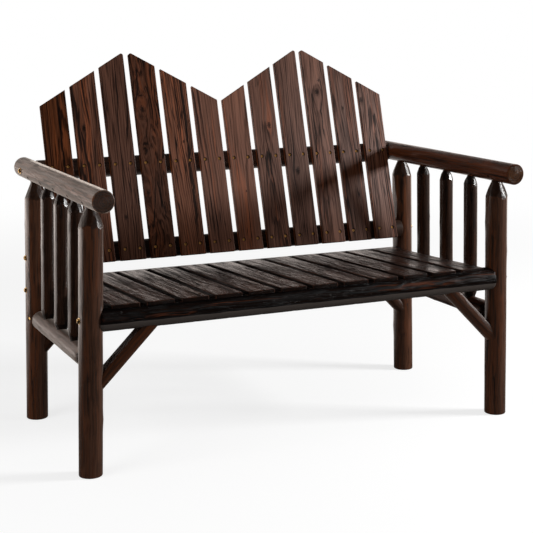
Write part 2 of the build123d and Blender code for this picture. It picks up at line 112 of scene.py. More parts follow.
def colour_choice(name, description, *shop_colour):
    return FloatVectorProperty(name=name, description=description, subtype="COLOR", size=3, min=0, max=1,
                               default=paint(*shop_colour))


def length_choice(name, description, low, high, usual):
    return FloatProperty(name=name, description=description, subtype="DISTANCE", unit="LENGTH",
                         min=low, max=high, default=usual)


def power_choice(name, description, usual):
    return FloatProperty(name=name, description=description, subtype="POWER", unit="POWER",
                         min=0, max=500, default=usual)


class BenchWood(bpy.types.PropertyGroup):
    """Colours and grain of the burnt boards and logs."""
    slat_light: colour_choice("Slat Light", "Wood between the burnt rings of the back slats", 118, 69, 45)
    slat_dark: colour_choice("Slat Dark", "Burnt rings of the back slats", 36, 18, 10)
    # The ash tone is partly a painted reflection: grey sheen of the varnish mixed into the slats' colour.
    slat_ash: colour_choice("Slat Ash And Sheen", "Greyer wood of the back slats that caught more smoke", 116, 88, 78)
    slat_warm: colour_choice("Slat Warm", "Orange brown where the flame passed lightly", 146, 72, 28)
    char: colour_choice("Char", "Black of the deep burnt spots and checks", 12, 8, 7)
    log_light: colour_choice("Log Light", "Lighter stain of the side logs and the braces", 75, 46, 31)
    log_dark: colour_choice("Log Dark", "Darker stain of the side logs and the braces", 22, 12, 7)
    log_warm: colour_choice("Log Warm", "Reddish stain where the log was sanded thin", 78, 40, 19)
    seat_light: colour_choice("Seat Light", "Lighter grain of the seat slats", 74, 50, 41)
    seat_dark: colour_choice("Seat Dark", "Darker grain of the seat slats", 12, 9, 8)
    ring_width: length_choice("Ring Width", "Distance from one growth ring to the next", 0.0005, 0.02, 0.0042)
    relief: length_choice("Relief", "How far the hard rings stand above the soft wood", 0, 0.003, 0.0006)


class BenchMetal(bpy.types.PropertyGroup):
    """Colours of the bolts and screws."""
    brass: colour_choice("Brass", "Yellow metal of the bolts and screws", 232, 192, 128)
    tarnish: colour_choice("Tarnish", "Brown film in the sockets and on the rims", 84, 62, 34)
    steel: colour_choice("Steel", "Zinc grey of the hidden seat screws", 150, 152, 154)


class BenchLogs(bpy.types.PropertyGroup):
    """Shape of the peeled and carved logs."""
    post_facets: IntProperty(
        name="Post Facets", description="Knife cuts round the point of a post", min=5, max=24, default=11)
    spindle_facets: IntProperty(
        name="Spindle Facets", description="Knife cuts round each end of a spindle", min=5, max=24, default=9)
    swell: length_choice("Swell", "How far a peeled log is from a true round", 0, 0.006, 0.0009)
    swell_size: length_choice("Swell Size", "Length of one swelling of a peeled log", 0.02, 0.5, 0.12)
    knot_height: length_choice("Knot Height", "How far a branch knot stands out of a log", 0, 0.006, 0.0014)


class BenchStudio(bpy.types.PropertyGroup):
    """Floor, lamps and camera."""
    floor_size: length_choice("Floor Size", "Side of the square floor", 2, 40, 16)
    key_power: power_choice("Key Lamp", "Power of the large lamp at the right", 235)
    fill_power: power_choice("Fill Lamp", "Power of the lamp at the front left", 64)
    sky: FloatProperty(
        name="Room Light", description="Strength of the even light from the room", min=0, max=1, default=0.2)
    soft_box: FloatProperty(
        name="Soft Box", description="Strength in reflections of the soft box at the left",
        min=1, max=6, default=3.6)
    dim: FloatProperty(
        name="Dim Room", description="Strength in reflections of the room in front of the bench",
        min=0, max=1, default=0.02)
    lens: FloatProperty(
        name="Lens", description="Focal length of the camera",
        subtype="DISTANCE_CAMERA", unit="CAMERA", min=10, max=300, default=86.783936)


class BenchSettings(bpy.types.PropertyGroup):
    """All settings of the log bench."""
    wood: PointerProperty(type=BenchWood)
    metal: PointerProperty(type=BenchMetal)
    logs: PointerProperty(type=BenchLogs)
    studio: PointerProperty(type=BenchStudio)


def settings():
    return bpy.context.scene.log_bench


# ---------------------------------------------------------------- node wiring

def arithmetic(operation):
    """A method that puts one Math node between a value and what it meets."""
    def method(value, *others):
        return value.wiring.math(operation, value, *others)
    return method


class Value:
    """What comes out of one socket, written in sums as a plain number would be."""
    __add__ = arithmetic("ADD")
    __sub__ = arithmetic("SUBTRACT")
    __mul__ = arithmetic("MULTIPLY")
    __truediv__ = arithmetic("DIVIDE")
    __abs__ = arithmetic("ABSOLUTE")
    at_least = arithmetic("MAXIMUM")
    at_most = arithmetic("MINIMUM")
    floor = arithmetic("FLOOR")
    fraction = arithmetic("FRACT")
    root = arithmetic("SQRT")
    exponent = arithmetic("EXPONENT")

    def __init__(self, wiring, socket):
        self.wiring = wiring
        self.socket = socket

    def __rsub__(self, other):
        return self.wiring.math("SUBTRACT", other, self)

    def clamped(self):
        """Keeps the sum that gave this value between 0 and 1."""
        self.socket.node.use_clamp = True
        return self


class Wiring:
    """Puts nodes into one tree and joins them as they are made."""

    def __init__(self, tree):
        self.tree = tree

    def put(self, kind, feeds=None, **looks):
        node = self.tree.nodes.new(kind)
        for key, value in looks.items():
            setattr(node, key, value)
        for key, value in (feeds or {}).items():
            self.feed(node.inputs[key], value)
        return node

    def feed(self, socket, value):
        if isinstance(value, Value):
            self.tree.links.new(value.socket, socket)
        elif value is not None:
            if socket.type == "RGBA" and len(value) == 3:
                value = (*value, 1)
            socket.default_value = value

    def made(self, kind, feeds=None, out=0, **looks):
        """Puts a node and gives one of its outputs."""
        return Value(self, self.put(kind, feeds, **looks).outputs[out])

    def results(self, node):
        return {socket.name: Value(self, socket) for socket in node.outputs}

    def group(self, name, feeds):
        """Puts one of the shared groups and gives all that comes out of it, by name."""
        return self.results(self.put("ShaderNodeGroup", feeds, node_tree=shared(name)))

    def math(self, operation, *terms):
        return self.made("ShaderNodeMath", dict(enumerate(terms)), operation=operation)

    def vector(self, operation, a, b=None, out=0):
        second = 3 if operation == "SCALE" else 1
        return self.made("ShaderNodeVectorMath", {0: a, second: b}, out, operation=operation)

    def split(self, vector):
        return [Value(self, socket) for socket in self.put("ShaderNodeSeparateXYZ", {0: vector}).outputs]

    def join(self, x, y, z):
        return self.made("ShaderNodeCombineXYZ", {0: x, 1: y, 2: z})

    def noise(self, vector, scale=1.0, detail=2.0, rough=0.6, out="Fac"):
        """A cloudy pattern. Its scale is one number, or three for across, into and along the wood."""
        if isinstance(scale, tuple):
            vector, scale = self.vector("MULTIPLY", vector, scale), 1.0
        feeds = {"Vector": vector, "Scale": scale, "Detail": detail, "Roughness": rough}
        return self.made("ShaderNodeTexNoise", feeds, out)

    def step(self, value, low, high, bottom=0.0, top=1.0, kind="SMOOTHSTEP"):
        """Goes from bottom to top while the value goes from low to high."""
        feeds = {0: value, 1: low, 2: high, 3: bottom, 4: top}
        return self.made("ShaderNodeMapRange", feeds, interpolation_type=kind)

    def blend(self, share, a, b):
        """Colour a where the share is 0, and b where it is 1."""
        node = self.put("ShaderNodeMix", data_type="RGBA")
        sockets = {socket.identifier: socket for socket in (*node.inputs, *node.outputs)}
        for key, value in (("Factor_Float", share), ("A_Color", a), ("B_Color", b)):
            self.feed(sockets[key], value)
        return Value(self, sockets["Result_Color"])


def cleared(owner):
    """Empties the shader tree of a material or a world, and gives its wiring."""
    owner.use_nodes = True
    owner.node_tree.nodes.clear()
    return Wiring(owner.node_tree)


# ---------------------------------------------------------------- shader groups

RECIPES = {}


def recipe(name, inputs):
    """Keeps how a shared shader group is made, under its name and with the defaults of its inputs."""
    def keep(maker):
        RECIPES[name] = inputs, maker
        return maker
    return keep


def shared(name):
    """A shader group by name, made when it is first asked for. An input with no default is a vector, and one
    with three numbers a colour."""
    if name in bpy.data.node_groups:
        return bpy.data.node_groups[name]
    inputs, maker = RECIPES[name]
    group = bpy.data.node_groups.new(name, "ShaderNodeTree")
    for label, default in inputs.items():
        kind = "Vector" if default is None else "Color" if isinstance(default, tuple) else "Float"
        socket = group.interface.new_socket(name=label, in_out="INPUT", socket_type="NodeSocket" + kind)
        if default is not None:
            socket.default_value = (*default, 1) if kind == "Color" else default
    w = Wiring(group)
    results = maker(w, w.results(w.put("NodeGroupInput")))
    kinds = {"VALUE": "Float", "VECTOR": "Vector", "RGBA": "Color"}
    for label, value in results.items():
        kind = kinds[value.socket.type]
        group.interface.new_socket(name=label, in_out="OUTPUT", socket_type="NodeSocket" + kind)
    w.put("NodeGroupOutput", results)
    return group


@recipe("Knot", {"Place": None, "Across": 0.0, "Along": 0.3, "Size": 0.006, "Swirl": 1.0, "Heart": 0.0})
def bent_round_knot(w, given):
    """Bends the grain round one knot and marks the knot's own dark heart."""
    x, y, z = w.split(given["Place"])
    off = x - given["Across"]
    wide = off / given["Size"]
    tall = (z - given["Along"]) / given["Size"]
    pull = ((wide * wide + tall * tall * 0.09) * -0.22).exponent()
    ragged = w.noise(given["Place"], 260.0)
    edge = (wide * wide + tall * tall * 0.45).root() + (ragged - 0.5) * 2.0
    return {"Place": w.join(x - off * pull * given["Swirl"], y, z),
            "Heart": w.step(edge, 1.2, 0.3).at_least(given["Heart"])}


@recipe("Streak", {
    "Place": None, "Across": 0.0, "Along": 0.3, "Lean": 0.0, "Length": 0.1, "Width": 0.003,
    "Seed": 0.0, "Mask": 0.0})
def dark_streak(w, given):
    """Marks one long dark streak that wanders with the grain."""
    x, _, z = w.split(given["Place"])
    up = z - given["Along"]
    wander = w.noise(w.join(given["Seed"], 0.0, z * 14.0), detail=3.0)
    middle = given["Across"] + (wander - 0.5) * 0.016 + up * given["Lean"]
    swell = w.noise(w.join(x * 260.0, given["Seed"], z * 22.0), detail=3.0)
    width = given["Width"] * w.step(swell, 0.3, 0.7, 0.35, 1.5)
    across = w.step(abs(x - middle) / width, 1.0, 0.35)
    along = w.step(abs(up) / given["Length"], 1.0, 0.6)
    return {"Mask": (across * along).at_least(given["Mask"])}


@recipe("Burnt Grain", {
    "Place": None, "Heart": 0.0, "Streak": 0.0, "Seed": 0.0, "Pith Across": 0.0, "Pith Deep": 0.04,
    "Pith Lean": 0.02, "Ring Width": 0.004, "Ring Depth": 0.5, "Wander": 0.01,
    "Light": (0.3, 0.2, 0.1), "Dark": (0.03, 0.02, 0.02), "Warm": (0.3, 0.1, 0.05),
    "Char": (0.01, 0.01, 0.01), "Warmth": 0.4, "Streaks": 0.8, "Burn": 0.3, "Checks": 0.4, "Gloss": 0.5})
def burnt_grain(w, given):
    """Growth rings, fibres, checks and burning of one piece of wood."""
    seed = given["Seed"]
    shift = w.join(seed * 3.17, seed * 1.31, seed * 5.77)

    def pattern(place, scale, detail=2.0, rough=0.55, out="Fac"):
        """A noise stretched by the scale, and elsewhere in the noise for each seed."""
        spread = w.vector("ADD", w.vector("MULTIPLY", place, scale), shift)
        return w.noise(spread, 1.0, detail, rough, out)

    # the grain wanders along the piece, and every pattern below follows it
    drift = w.vector("SUBTRACT", pattern(given["Place"], (15, 15, 5), out="Color"), (0.5, 0.5, 0.5))
    drift = w.vector("SCALE", w.vector("MULTIPLY", drift, (1, 1, 0)), given["Wander"])
    flow = w.vector("ADD", given["Place"], drift)
    x, y, z = w.split(flow)

    def lines(wide, long, detail=2.0, rough=0.55):
        return pattern(flow, (wide, wide, long), detail, rough)

    # growth rings about the heart of the log, sawn straight through
    across = x - given["Pith Across"]
    deep = y - given["Pith Deep"] - z * given["Pith Lean"]
    medium = lines(115, 2.4)
    count = (across * across + deep * deep).root() / given["Ring Width"] + (medium - 0.5) * 1.2
    ring = count.fraction()
    lot = w.made("ShaderNodeTexWhiteNoise", {"W": count.floor() + seed}, "Value", noise_dimensions="1D")
    late = w.step(ring, 0.3, 0.8) * w.step(ring, 1.0, 0.88) * w.step(lot, 0.0, 1.0, 0.15, 1.0, "LINEAR")

    # dark and light strands, from hand-wide down to single fibres
    broad = lines(38, 1.5)
    fine = lines(320, 6)
    fibre = lines(1100, 22)
    shade = (broad - 0.5) * 0.8 + (medium - 0.5) + (fine - 0.5) * 2.0 + (fibre - 0.5) * 0.6
    shade = shade * given["Streaks"] + 0.5 + late * given["Ring Depth"]
    wood = w.blend(w.step(shade, 0.1, 1.1, kind="LINEAR"), given["Light"], given["Dark"])

    # warm patches where the flame passed lightly
    glow = lines(26, 1.8) * 0.55 + lines(120, 3.0) * 0.45
    edge = 0.68 - given["Warmth"] * 0.28
    warm = w.step(glow, edge, edge + 0.14) * w.step(shade, 0.9, 0.45)
    wood = w.blend((warm * 0.75).clamped(), wood, given["Warm"])

    # burnt spots, fine checks, and what the knots and streaks add
    edge = 0.76 - given["Burn"] * 0.34
    burnt = w.step(lines(34, 4.5, 4.0, 0.65), edge, edge + 0.1) * w.step(medium, 0.36, 0.55, 0.4, 1.0)
    edge = 0.7 - given["Checks"] * 0.28
    check = w.step(abs(lines(95, 2.2) - 0.5), 0.028, 0.006) * w.step(lines(28, 6, 1.0), edge, edge + 0.06)
    marks = (given["Heart"] * 0.8).at_least(given["Streak"] * 0.9)
    black = (burnt * 0.85).at_least(check * 0.9).at_least(marks)

    # rubbed hard wood shines, and the burnt lines stay matt
    shine = w.step(shade, 1.0, 0.2, 0.4, 1.5, "LINEAR")
    rough = 0.78 - given["Gloss"] * 0.5 + (fibre - 0.5) * 0.22 + (broad - 0.5) * 0.3 + check * 0.3
    rough = rough + (0.95 - shine) * (given["Streaks"] * 0.22) + black * 0.2
    height = late * 0.5 + fibre * 0.35 + fine * 0.6 + medium * 0.8
    return {"Colour": w.blend(black, wood, given["Char"]), "Roughness": rough.clamped(),
            "Height": height - (check * 0.7).at_least(given["Streak"] * 0.4),
            "Polish": shine * (black * -0.7 + 1.0)}


@recipe("Worn Arris", {
    "Place": None, "Half Width": BOARD_HALF_WIDTH, "Half Depth": BOARD_HALF_DEPTH, "Reach": 0.0016})
def arris_wear_highlight_and_side_shade(w, given):
    """Marks the long edges of a board, whose pale line is partly wear and partly painted highlight, and its
    narrow sides, which get painted shade.
    """
    x, y, _ = w.split(given["Place"])
    side = given["Half Width"] - abs(x)
    face = given["Half Depth"] - abs(y)
    ragged = w.noise(given["Place"], (400, 400, 30))
    reach = given["Reach"] * w.step(ragged, 0.3, 0.7, 0.3, 1.7)
    return {"Mask": w.step(side + face, reach, reach * 0.4),
            "Side": w.step(side, 0.0006, 0.0002) * w.step(face, 0.0008, 0.002)}


@recipe("Screw Soot", {"Place": None, "Across": 0.0225, "Low": 0.032, "High": 0.275, "Reach": 0.0068})
def screw_shade_ring(w, given):
    """Marks the ring of painted shade round the two rows of screws in a back board."""
    x, _, z = w.split(given["Place"])
    side = abs(x) - given["Across"]
    up = abs(z - given["Low"]).at_most(abs(z - given["High"]))
    far = (side * side + up * up).root()
    return {"Mask": w.step(far, given["Reach"], given["Reach"] * 0.7)}


@recipe("Knife Cut", {"Place": None, "Radius": 0.03, "Middle": 0.0, "Reach": 0.6})
def knife_cut(w, given):
    """Marks the carved ends of a log, where the varnish has pooled on the cuts."""
    x, y, z = w.split(given["Place"])
    inside = w.step(given["Radius"] - (x * x + y * y).root(), 0.0004, 0.0016)
    end = abs(z - given["Middle"]) - given["Reach"]
    return {"Mask": inside * w.step(end, 0.0, 0.002)}


@recipe("Sawn End", {"Direction": None, "Place": None, "Ring Width": 0.0064})
def sawn_end(w, given):
    """Marks the sawn ends of a piece by the way its surface faces, and draws rings and pith on them."""
    normal = w.made("ShaderNodeNewGeometry", out="Normal")
    facing = abs(w.vector("DOT_PRODUCT", normal, given["Direction"], out="Value"))
    x, y, _ = w.split(given["Place"])
    far = (x * x + y * y).root()
    uneven = w.noise(given["Place"], 60.0, 3.0)
    ring = abs((far / given["Ring Width"] + uneven * 2.0).fraction() - 0.5)
    shade = ring * 1.6 + w.step(uneven, 0.35, 0.7, -0.1, 0.4)
    rim = w.step(far, 0.0272, 0.0215, 0.15, 1.0)
    pith = w.step(far, 0.0040, 0.0022)
    return {"Mask": w.step(facing, 0.8, 0.95), "Rings": (shade * rim).at_least(pith * 2.0)}


@recipe("Worn Metal", {"Clean": (0.5, 0.4, 0.2), "Film": (0.1, 0.06, 0.03), "Wear": 0.5})
def worn_metal(w, given):
    """Brushed and tarnished metal colour and roughness."""
    place = w.made("ShaderNodeTexCoord", out="Object")
    cloud = w.noise(place, 420.0, 4.0)
    spot = w.noise(place, 1500.0, 3.0)
    film = w.step(cloud * 0.7 + spot * 0.3, 0.42, 0.62) * given["Wear"]
    return {"Colour": w.blend(film, given["Clean"], given["Film"]), "Roughness": film * 0.3 + spot * 0.25,
            "Height": spot}


# ---------------------------------------------------------------- materials

# How strong and how rough the varnish is, and how much the wood under it shines by itself.
VARNISH = {"brushed": (2.0, 0.45, 0.0), "carved": (1.3, 0.26, 0.28), "none": (0.0, 0.3, 0.92)}


class WoodFinish:
    """Burnt wood of one piece, laid on layer by layer along its own grain."""

    def __init__(self, name, centre, turn):
        self.material = bpy.data.materials.new(name)
        self.w = cleared(self.material)
        place = self.w.made("ShaderNodeTexCoord", out="Object")
        self.plain = self.w.made("ShaderNodeMapping", {"Vector": place, "Location": centre, "Rotation": turn},
                                 vector_type="TEXTURE")
        self.bent = self.plain
        self.heart = self.streak = None

    def knots(self, knots):
        for across, along, size, swirl in knots:
            knot = self.w.group("Knot", {"Place": self.bent, "Across": across * MM, "Along": along * MM,
                                         "Size": size * MM, "Swirl": swirl, "Heart": self.heart})
            self.bent, self.heart = knot["Place"], knot["Heart"]

    def streaks(self, streaks, seed):
        for count, (across, along, lean, length, width) in enumerate(streaks):
            streak = self.w.group("Streak", {
                "Place": self.bent, "Across": across * MM, "Along": along * MM, "Lean": lean,
                "Length": length * MM, "Width": width * MM, "Seed": seed + count, "Mask": self.streak})
            self.streak = streak["Mask"]

    def grain(self, tones, grain):
        self.light, self.dark, warm = tones
        burnt = self.w.group("Burnt Grain", {
            **grain, "Place": self.bent, "Heart": self.heart, "Streak": self.streak,
            "Light": self.light, "Dark": self.dark, "Warm": warm, "Char": settings().wood.char})
        self.colour, self.rough = burnt["Colour"], burnt["Roughness"]
        self.height, self.shine = burnt["Height"], burnt["Polish"]

    def stain(self, share, tone):
        """Lays a tone over the wood, as strong as the share says."""
        self.colour = self.w.blend(share, self.colour, tone)

    def edge_wear_highlight_and_side_shade(self):
        # A pale line on the long edges, partly wear and partly painted highlight, and darker narrow sides,
        # which are painted shade.
        edge = self.w.group("Worn Arris", {"Place": self.plain})
        self.stain(edge["Mask"] * 0.7, toned(self.light, 1.7))
        self.stain(edge["Side"] * 0.85, toned(self.dark, 0.5))
        self.rough = edge["Side"] * 0.4 + self.rough

    def brushed_board(self):
        """Painted shade round the screws and towards the foot, and a shine that goes when seen along the
        rough face and fades towards the foot.
        """
        w = self.w
        # Painted shade round the screw heads.
        self.stain(w.group("Screw Soot", {"Place": self.plain})["Mask"] * 0.8, toned(self.dark, 0.4))
        # The lower end of each slat is darker and less glossy: painted shade where less light reaches it.
        foot = w.step(w.split(self.plain)[2], 0.2, 0.02)
        self.stain(foot * 0.4, self.dark)
        edge_on = w.step(w.made("ShaderNodeLayerWeight", {"Blend": 0.5}, "Facing"), 0.5, 0.75)
        self.shine = self.shine * (foot * -0.6 + 1.0) * (1.0 - edge_on)

    def knife_cuts(self, radius, middle, reach):
        """Darker varnish on the carved ends, with the chatter of the knife in it."""
        w = self.w
        cut = w.group("Knife Cut", {"Place": self.plain, "Radius": radius, "Middle": middle,
                                    "Reach": reach})["Mask"]
        self.stain(cut * 0.75, toned(self.dark, 0.6))
        self.rough = (cut * 0.12 + self.rough).clamped()
        self.shine = self.shine * (cut * -0.62 + 1.0)
        chatter = w.noise(self.plain, 180.0, rough=0.5)
        self.height = chatter * cut * 2.0 + self.height

    def sawn_ends(self, direction, tone):
        end = self.w.group("Sawn End", {"Direction": direction, "Place": self.plain})
        rings = self.w.blend(end["Rings"], toned(self.dark, 0.7), toned(self.light, tone))
        self.stain(end["Mask"] * 0.9, rings)
        self.rough = self.rough + end["Mask"] * -0.05

    def planed_front(self, edge, top, tone):
        """A pale smooth band below the edge, which is a painted reflection of the white floor, a dark groove
        along it, which is painted shade, and darker wood above the top.
        """
        w = self.w
        waver = w.noise(self.plain, (0, 0, 9), 3.0)
        down = w.split(self.plain)[0] + (waver - 0.5) * 0.006
        low = w.step(down, edge - 0.0006, edge + 0.0006)
        groove = w.step(abs(down - (edge - 0.001)), 0.0018, 0.0004)
        burnt = w.step(down, top + 0.004, top - 0.002)
        # The pale tone is a painted reflection of the floor, and the groove's darkening is painted shade.
        self.stain(low * 0.8, tone)
        self.stain(groove.at_least(burnt) * 0.85, toned(self.dark, 0.6))
        self.rough = groove * 0.3 + self.rough
        self.height = self.height * (1.0 - low * 0.8)

    def shaded_ledge(self, front):
        """Painted shade on the ledge behind a rail's front edge, under and between the seat boards, which is
        also made dull.
        """
        back = self.w.step(self.w.split(self.plain)[1], front, front + 0.0008)
        self.stain(back * 0.8, toned(self.dark, 0.5))
        self.rough = (back * 0.6 + self.rough).clamped()

    def varnish(self, kind, polish, bloom, ior, relief):
        """Puts the shader under all layers: polish is the gloss, and bloom the dusty film on old varnish."""
        coat, coat_rough, bare = VARNISH[kind]
        w = self.w
        bump = w.made("ShaderNodeBump", {"Height": self.height, "Strength": 0.8,
                                         "Distance": settings().wood.relief * relief})
        shader = w.made("ShaderNodeBsdfPrincipled", {
            "Base Color": self.colour, "Roughness": self.rough, "Normal": bump,
            "Coat Weight": (self.shine * (coat * polish)).clamped() if coat else 0.0,
            "Coat Roughness": coat_rough, "Specular IOR Level": polish * bare, "IOR": ior,
            "Sheen Weight": bloom * 0.92, "Sheen Roughness": 0.35, "Sheen Tint": (1.0, 0.87, 0.77)})
        w.put("ShaderNodeOutputMaterial", {"Surface": shader})


def wood(name, centre, turn, tones, knots=(), streaks=(), board=False, brushed=False, carved=None, sawn=None,
         cut_tone=(1.1, 1.05, 0.95), floor_reflection_band=None, ledge=None, polish=0.5, bloom=0.0, ior=1.5, relief=1.0,
         **grain):
    """The wood of one piece: centre and turn lay its grain along it, and the rest names its layers."""
    finish = WoodFinish(name, centre, turn)
    finish.knots(knots)
    finish.streaks(streaks, grain["Seed"])
    finish.grain(tones, grain)
    if board:
        finish.edge_wear_highlight_and_side_shade()
    if brushed:
        finish.brushed_board()
    if carved:
        finish.knife_cuts(**carved)
    if sawn:
        finish.sawn_ends(sawn, cut_tone)
    if floor_reflection_band:
        finish.planed_front(**floor_reflection_band)
    if ledge:
        finish.shaded_ledge(ledge)
    finish.varnish("brushed" if brushed else "carved" if carved else "none", polish, bloom, ior, relief)
    return finish.material


def metal(name, clean, film, wear, bare=1.0):
    """Worn metal, bare or under a film that dulls it."""
    material = bpy.data.materials.new(name)
    w = cleared(material)
    worn = w.group("Worn Metal", {"Clean": clean, "Film": film, "Wear": wear})
    bump = w.made("ShaderNodeBump", {"Height": worn["Height"], "Strength": 0.5, "Distance": 0.0001})
    shader = w.made("ShaderNodeBsdfPrincipled", {"Base Color": worn["Colour"], "Roughness": worn["Roughness"],
                                                 "Metallic": bare, "Normal": bump})
    w.put("ShaderNodeOutputMaterial", {"Surface": shader})
    return material


def dress(name, material):
    """Gives a node of the frame its finish."""
    node = NODES[name]
    if not node.material_slots:
        node.data.materials.append(material)
    for held in node.material_slots:
        held.material = material


def log_tones(strength=1.0):
    """Light, dark and warm tones of the stained logs."""
    w = settings().wood
    return [toned(tone, strength) for tone in (w.log_light, w.log_dark, w.log_warm)]


# ---------------------------------------------------------------- log work

def mode(kind):
    active = bpy.context.view_layer.objects.active
    if active and active.mode != kind:
        bpy.ops.object.mode_set(mode=kind)


def take(*pieces):
    """Selects only these pieces, the first of them active."""
    mode("OBJECT")
    bpy.ops.object.select_all(action="DESELECT")
    for piece in pieces:
        piece.select_set(True)
    bpy.context.view_layer.objects.active = pieces[0]


def pick(piece, test, part="edges"):
    """Selects the edges, faces or points of a piece that pass a test, and stays in edit mode."""
    kinds = {"vertices": "VERT", "edges": "EDGE", "polygons": "FACE"}
    take(piece)
    mode("EDIT")
    bpy.ops.mesh.select_mode(type=kinds[part])
    bpy.ops.mesh.select_all(action="DESELECT")
    mode("OBJECT")
    mesh = piece.data
    found = 0
    for item in getattr(mesh, part):
        item.select = bool(test(item, mesh.vertices))
        found += item.select
    if not found:
        raise RuntimeError(f"nothing to work on in {piece.name}")
    mode("EDIT")


def finish_modifiers(piece):
    take(piece)
    for modifier in list(piece.modifiers):
        bpy.ops.object.modifier_apply(modifier=modifier.name)


def fix_in_place():
    """Makes the turn, place and size of the selected piece part of its mesh."""
    bpy.ops.object.transform_apply(location=True, rotation=True, scale=True)


def swell(piece, texture_name, size, strength, noise_depth=1, mid_level=0.5, group=""):
    """Puts a cloudy swelling on a piece, over all of it or over one vertex group."""
    clouds = bpy.data.textures.new(texture_name, "CLOUDS")
    clouds.noise_scale = size
    clouds.noise_depth = noise_depth
    modifier = piece.modifiers.new("Swell", "DISPLACE")
    modifier.texture = clouds
    modifier.strength = strength
    modifier.mid_level = mid_level
    modifier.vertex_group = group


def draw_out(rise):
    """Draws the picked faces straight up out of a piece, or down where the rise is below nothing."""
    bpy.ops.mesh.extrude_region_move(TRANSFORM_OT_translate={"value": (0, 0, rise)})


def slice_off(piece, point, outward):
    """Cuts a piece along a plane and takes away what lies outward of it."""
    take(piece)
    mode("EDIT")
    bpy.ops.mesh.select_all(action="SELECT")
    bpy.ops.mesh.bisect(plane_co=point, plane_no=outward, use_fill=True, clear_outer=True, threshold=0.00002)


def peeled_log(name, radius, low, high, rings, knots, knot_height, knot_reach, sides=44):
    """A peeled log upright on the origin, ringed along its length, a little uneven and with branch knots."""
    bpy.ops.object.select_all(action="DESELECT")
    bpy.ops.mesh.primitive_cylinder_add(vertices=sides, radius=radius, depth=high - low, end_fill_type="NGON",
                                        location=(0, 0, (low + high) / 2))
    log = bpy.context.active_object
    log.name = log.data.name = name
    fix_in_place()
    pick(log, lambda e, v: abs(v[e.vertices[0]].co.z - v[e.vertices[1]].co.z) > (high - low) / 2)
    bpy.ops.mesh.subdivide(number_cuts=rings)
    mode("OBJECT")
    logs = settings().logs
    for size, depth in ((logs.swell_size, logs.swell), (logs.swell_size / 4, logs.swell / 3)):
        swell(log, f"{name} Swell", size, depth)
    finish_modifiers(log)
    for height, angle in knots:
        raise_knot(log, height, angle, radius, knot_height, knot_reach)
    return log


def raise_knot(log, height, angle, radius, out, reach):
    """Pushes a low boss out of a log where a branch once stood."""
    direction = Vector((math.cos(angle), math.sin(angle), 0))
    spot = direction * radius + Vector((0, 0, height))
    nearest = min(log.data.vertices, key=lambda v: (v.co - spot).length).index
    pick(log, lambda v, _: v.index == nearest, "vertices")
    bpy.ops.transform.translate(value=direction * out, use_proportional_edit=True,
                                proportional_edit_falloff="SMOOTH", proportional_size=reach)
    mode("OBJECT")


def carve_point(log, radius, shoulder, neck_radius, neck, tenon_end, facets, turn=0.0, belly=0.12):
    """Whittles a point in two rounds of flat cuts, from shoulder to middle and from there to the neck, and
    draws the round tenon out of it."""
    up = 1 if neck > shoulder else -1
    half = abs(neck - shoulder) / 2
    middle = (radius + neck_radius) / 2 + belly * (radius - neck_radius)
    rng = random.Random(int(1000 * (radius + abs(shoulder))) + facets)
    rounds = ((facets + 2, math.atan2(radius - middle, half), middle, (shoulder + neck) / 2, 0.5),
              (facets, math.atan2(middle - neck_radius, half), neck_radius, neck, 0.0))
    for count, slope, out, height, shift in rounds:
        for number in range(count):
            angle = turn + 2 * math.pi * (number + shift + rng.uniform(-0.25, 0.25)) / count
            lean = slope + rng.uniform(-0.07, 0.07)
            x, y, flat = math.cos(angle), math.sin(angle), math.cos(lean)
            slice_off(log, (out * x, out * y, height), (x * flat, y * flat, up * math.sin(lean)))
    slice_off(log, (0, 0, neck), (0, 0, up))
    pick(log, lambda f, v: f.normal.z * up > 0.99 and abs(f.center.z - neck) < 0.0005, "polygons")
    draw_out(tenon_end - neck)
    bpy.ops.mesh.select_all(action="SELECT")
    bpy.ops.mesh.remove_doubles(threshold=0.00005)
    mode("OBJECT")


def soften(piece, width, angle):
    """Takes the sharpness off the edges and shades the round parts smooth."""
    edge = piece.modifiers.new("Soft Edge", "BEVEL")
    edge.width = width
    edge.segments = 2
    edge.limit_method = "ANGLE"
    edge.angle_limit = math.radians(angle)
    edge.use_clamp_overlap = True
    finish_modifiers(piece)
    bpy.ops.object.shade_smooth_by_angle(angle=math.radians(24))


def sink(piece, point, outward, radius, depth):
    """Drills a shallow round seat for a screw head, from a point of the surface inward."""
    drill_length = 0.02
    outward = Vector(outward)
    bpy.ops.object.select_all(action="DESELECT")
    bpy.ops.mesh.primitive_cylinder_add(
        vertices=24, radius=radius, depth=drill_length,
        location=Vector(point) + outward * (drill_length / 2 - depth),
        rotation=outward.to_track_quat("Z", "Y").to_euler())
    drill = bpy.context.active_object
    cut = piece.modifiers.new("Screw Seat", "BOOLEAN")
    cut.object = drill
    cut.operation = "DIFFERENCE"
    cut.solver = "EXACT"
    finish_modifiers(piece)
    put_away(drill)


def put_away(model):
    bpy.data.objects.remove(model)


def copy_at(model, place, turn):
    """A copy of a model piece, turned and set in its place."""
    take(model)
    bpy.ops.object.duplicate(linked=False)
    copy = bpy.context.active_object
    copy.rotation_euler = turn
    copy.location = place
    fix_in_place()
    return copy


def install(piece, name, node, material):
    """Names a modelled piece, gives it its finish and lets it stand for one node of the frame."""
    piece.name = piece.data.name = name
    piece.data.materials.clear()
    piece.data.materials.append(material)
    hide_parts(node)
    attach(piece, "root")


def stand(model, name, spin, turn, place, node, material):
    """Sets a copy of a model log in its place in the bench, spun about its own length first."""
    spun = (Euler(turn).to_matrix() @ Matrix.Rotation(spin, 3, "Z")).to_euler()
    log = copy_at(model, place, spun)
    install(log, name, node, material)
    return log


# ---------------------------------------------------------------- pieces

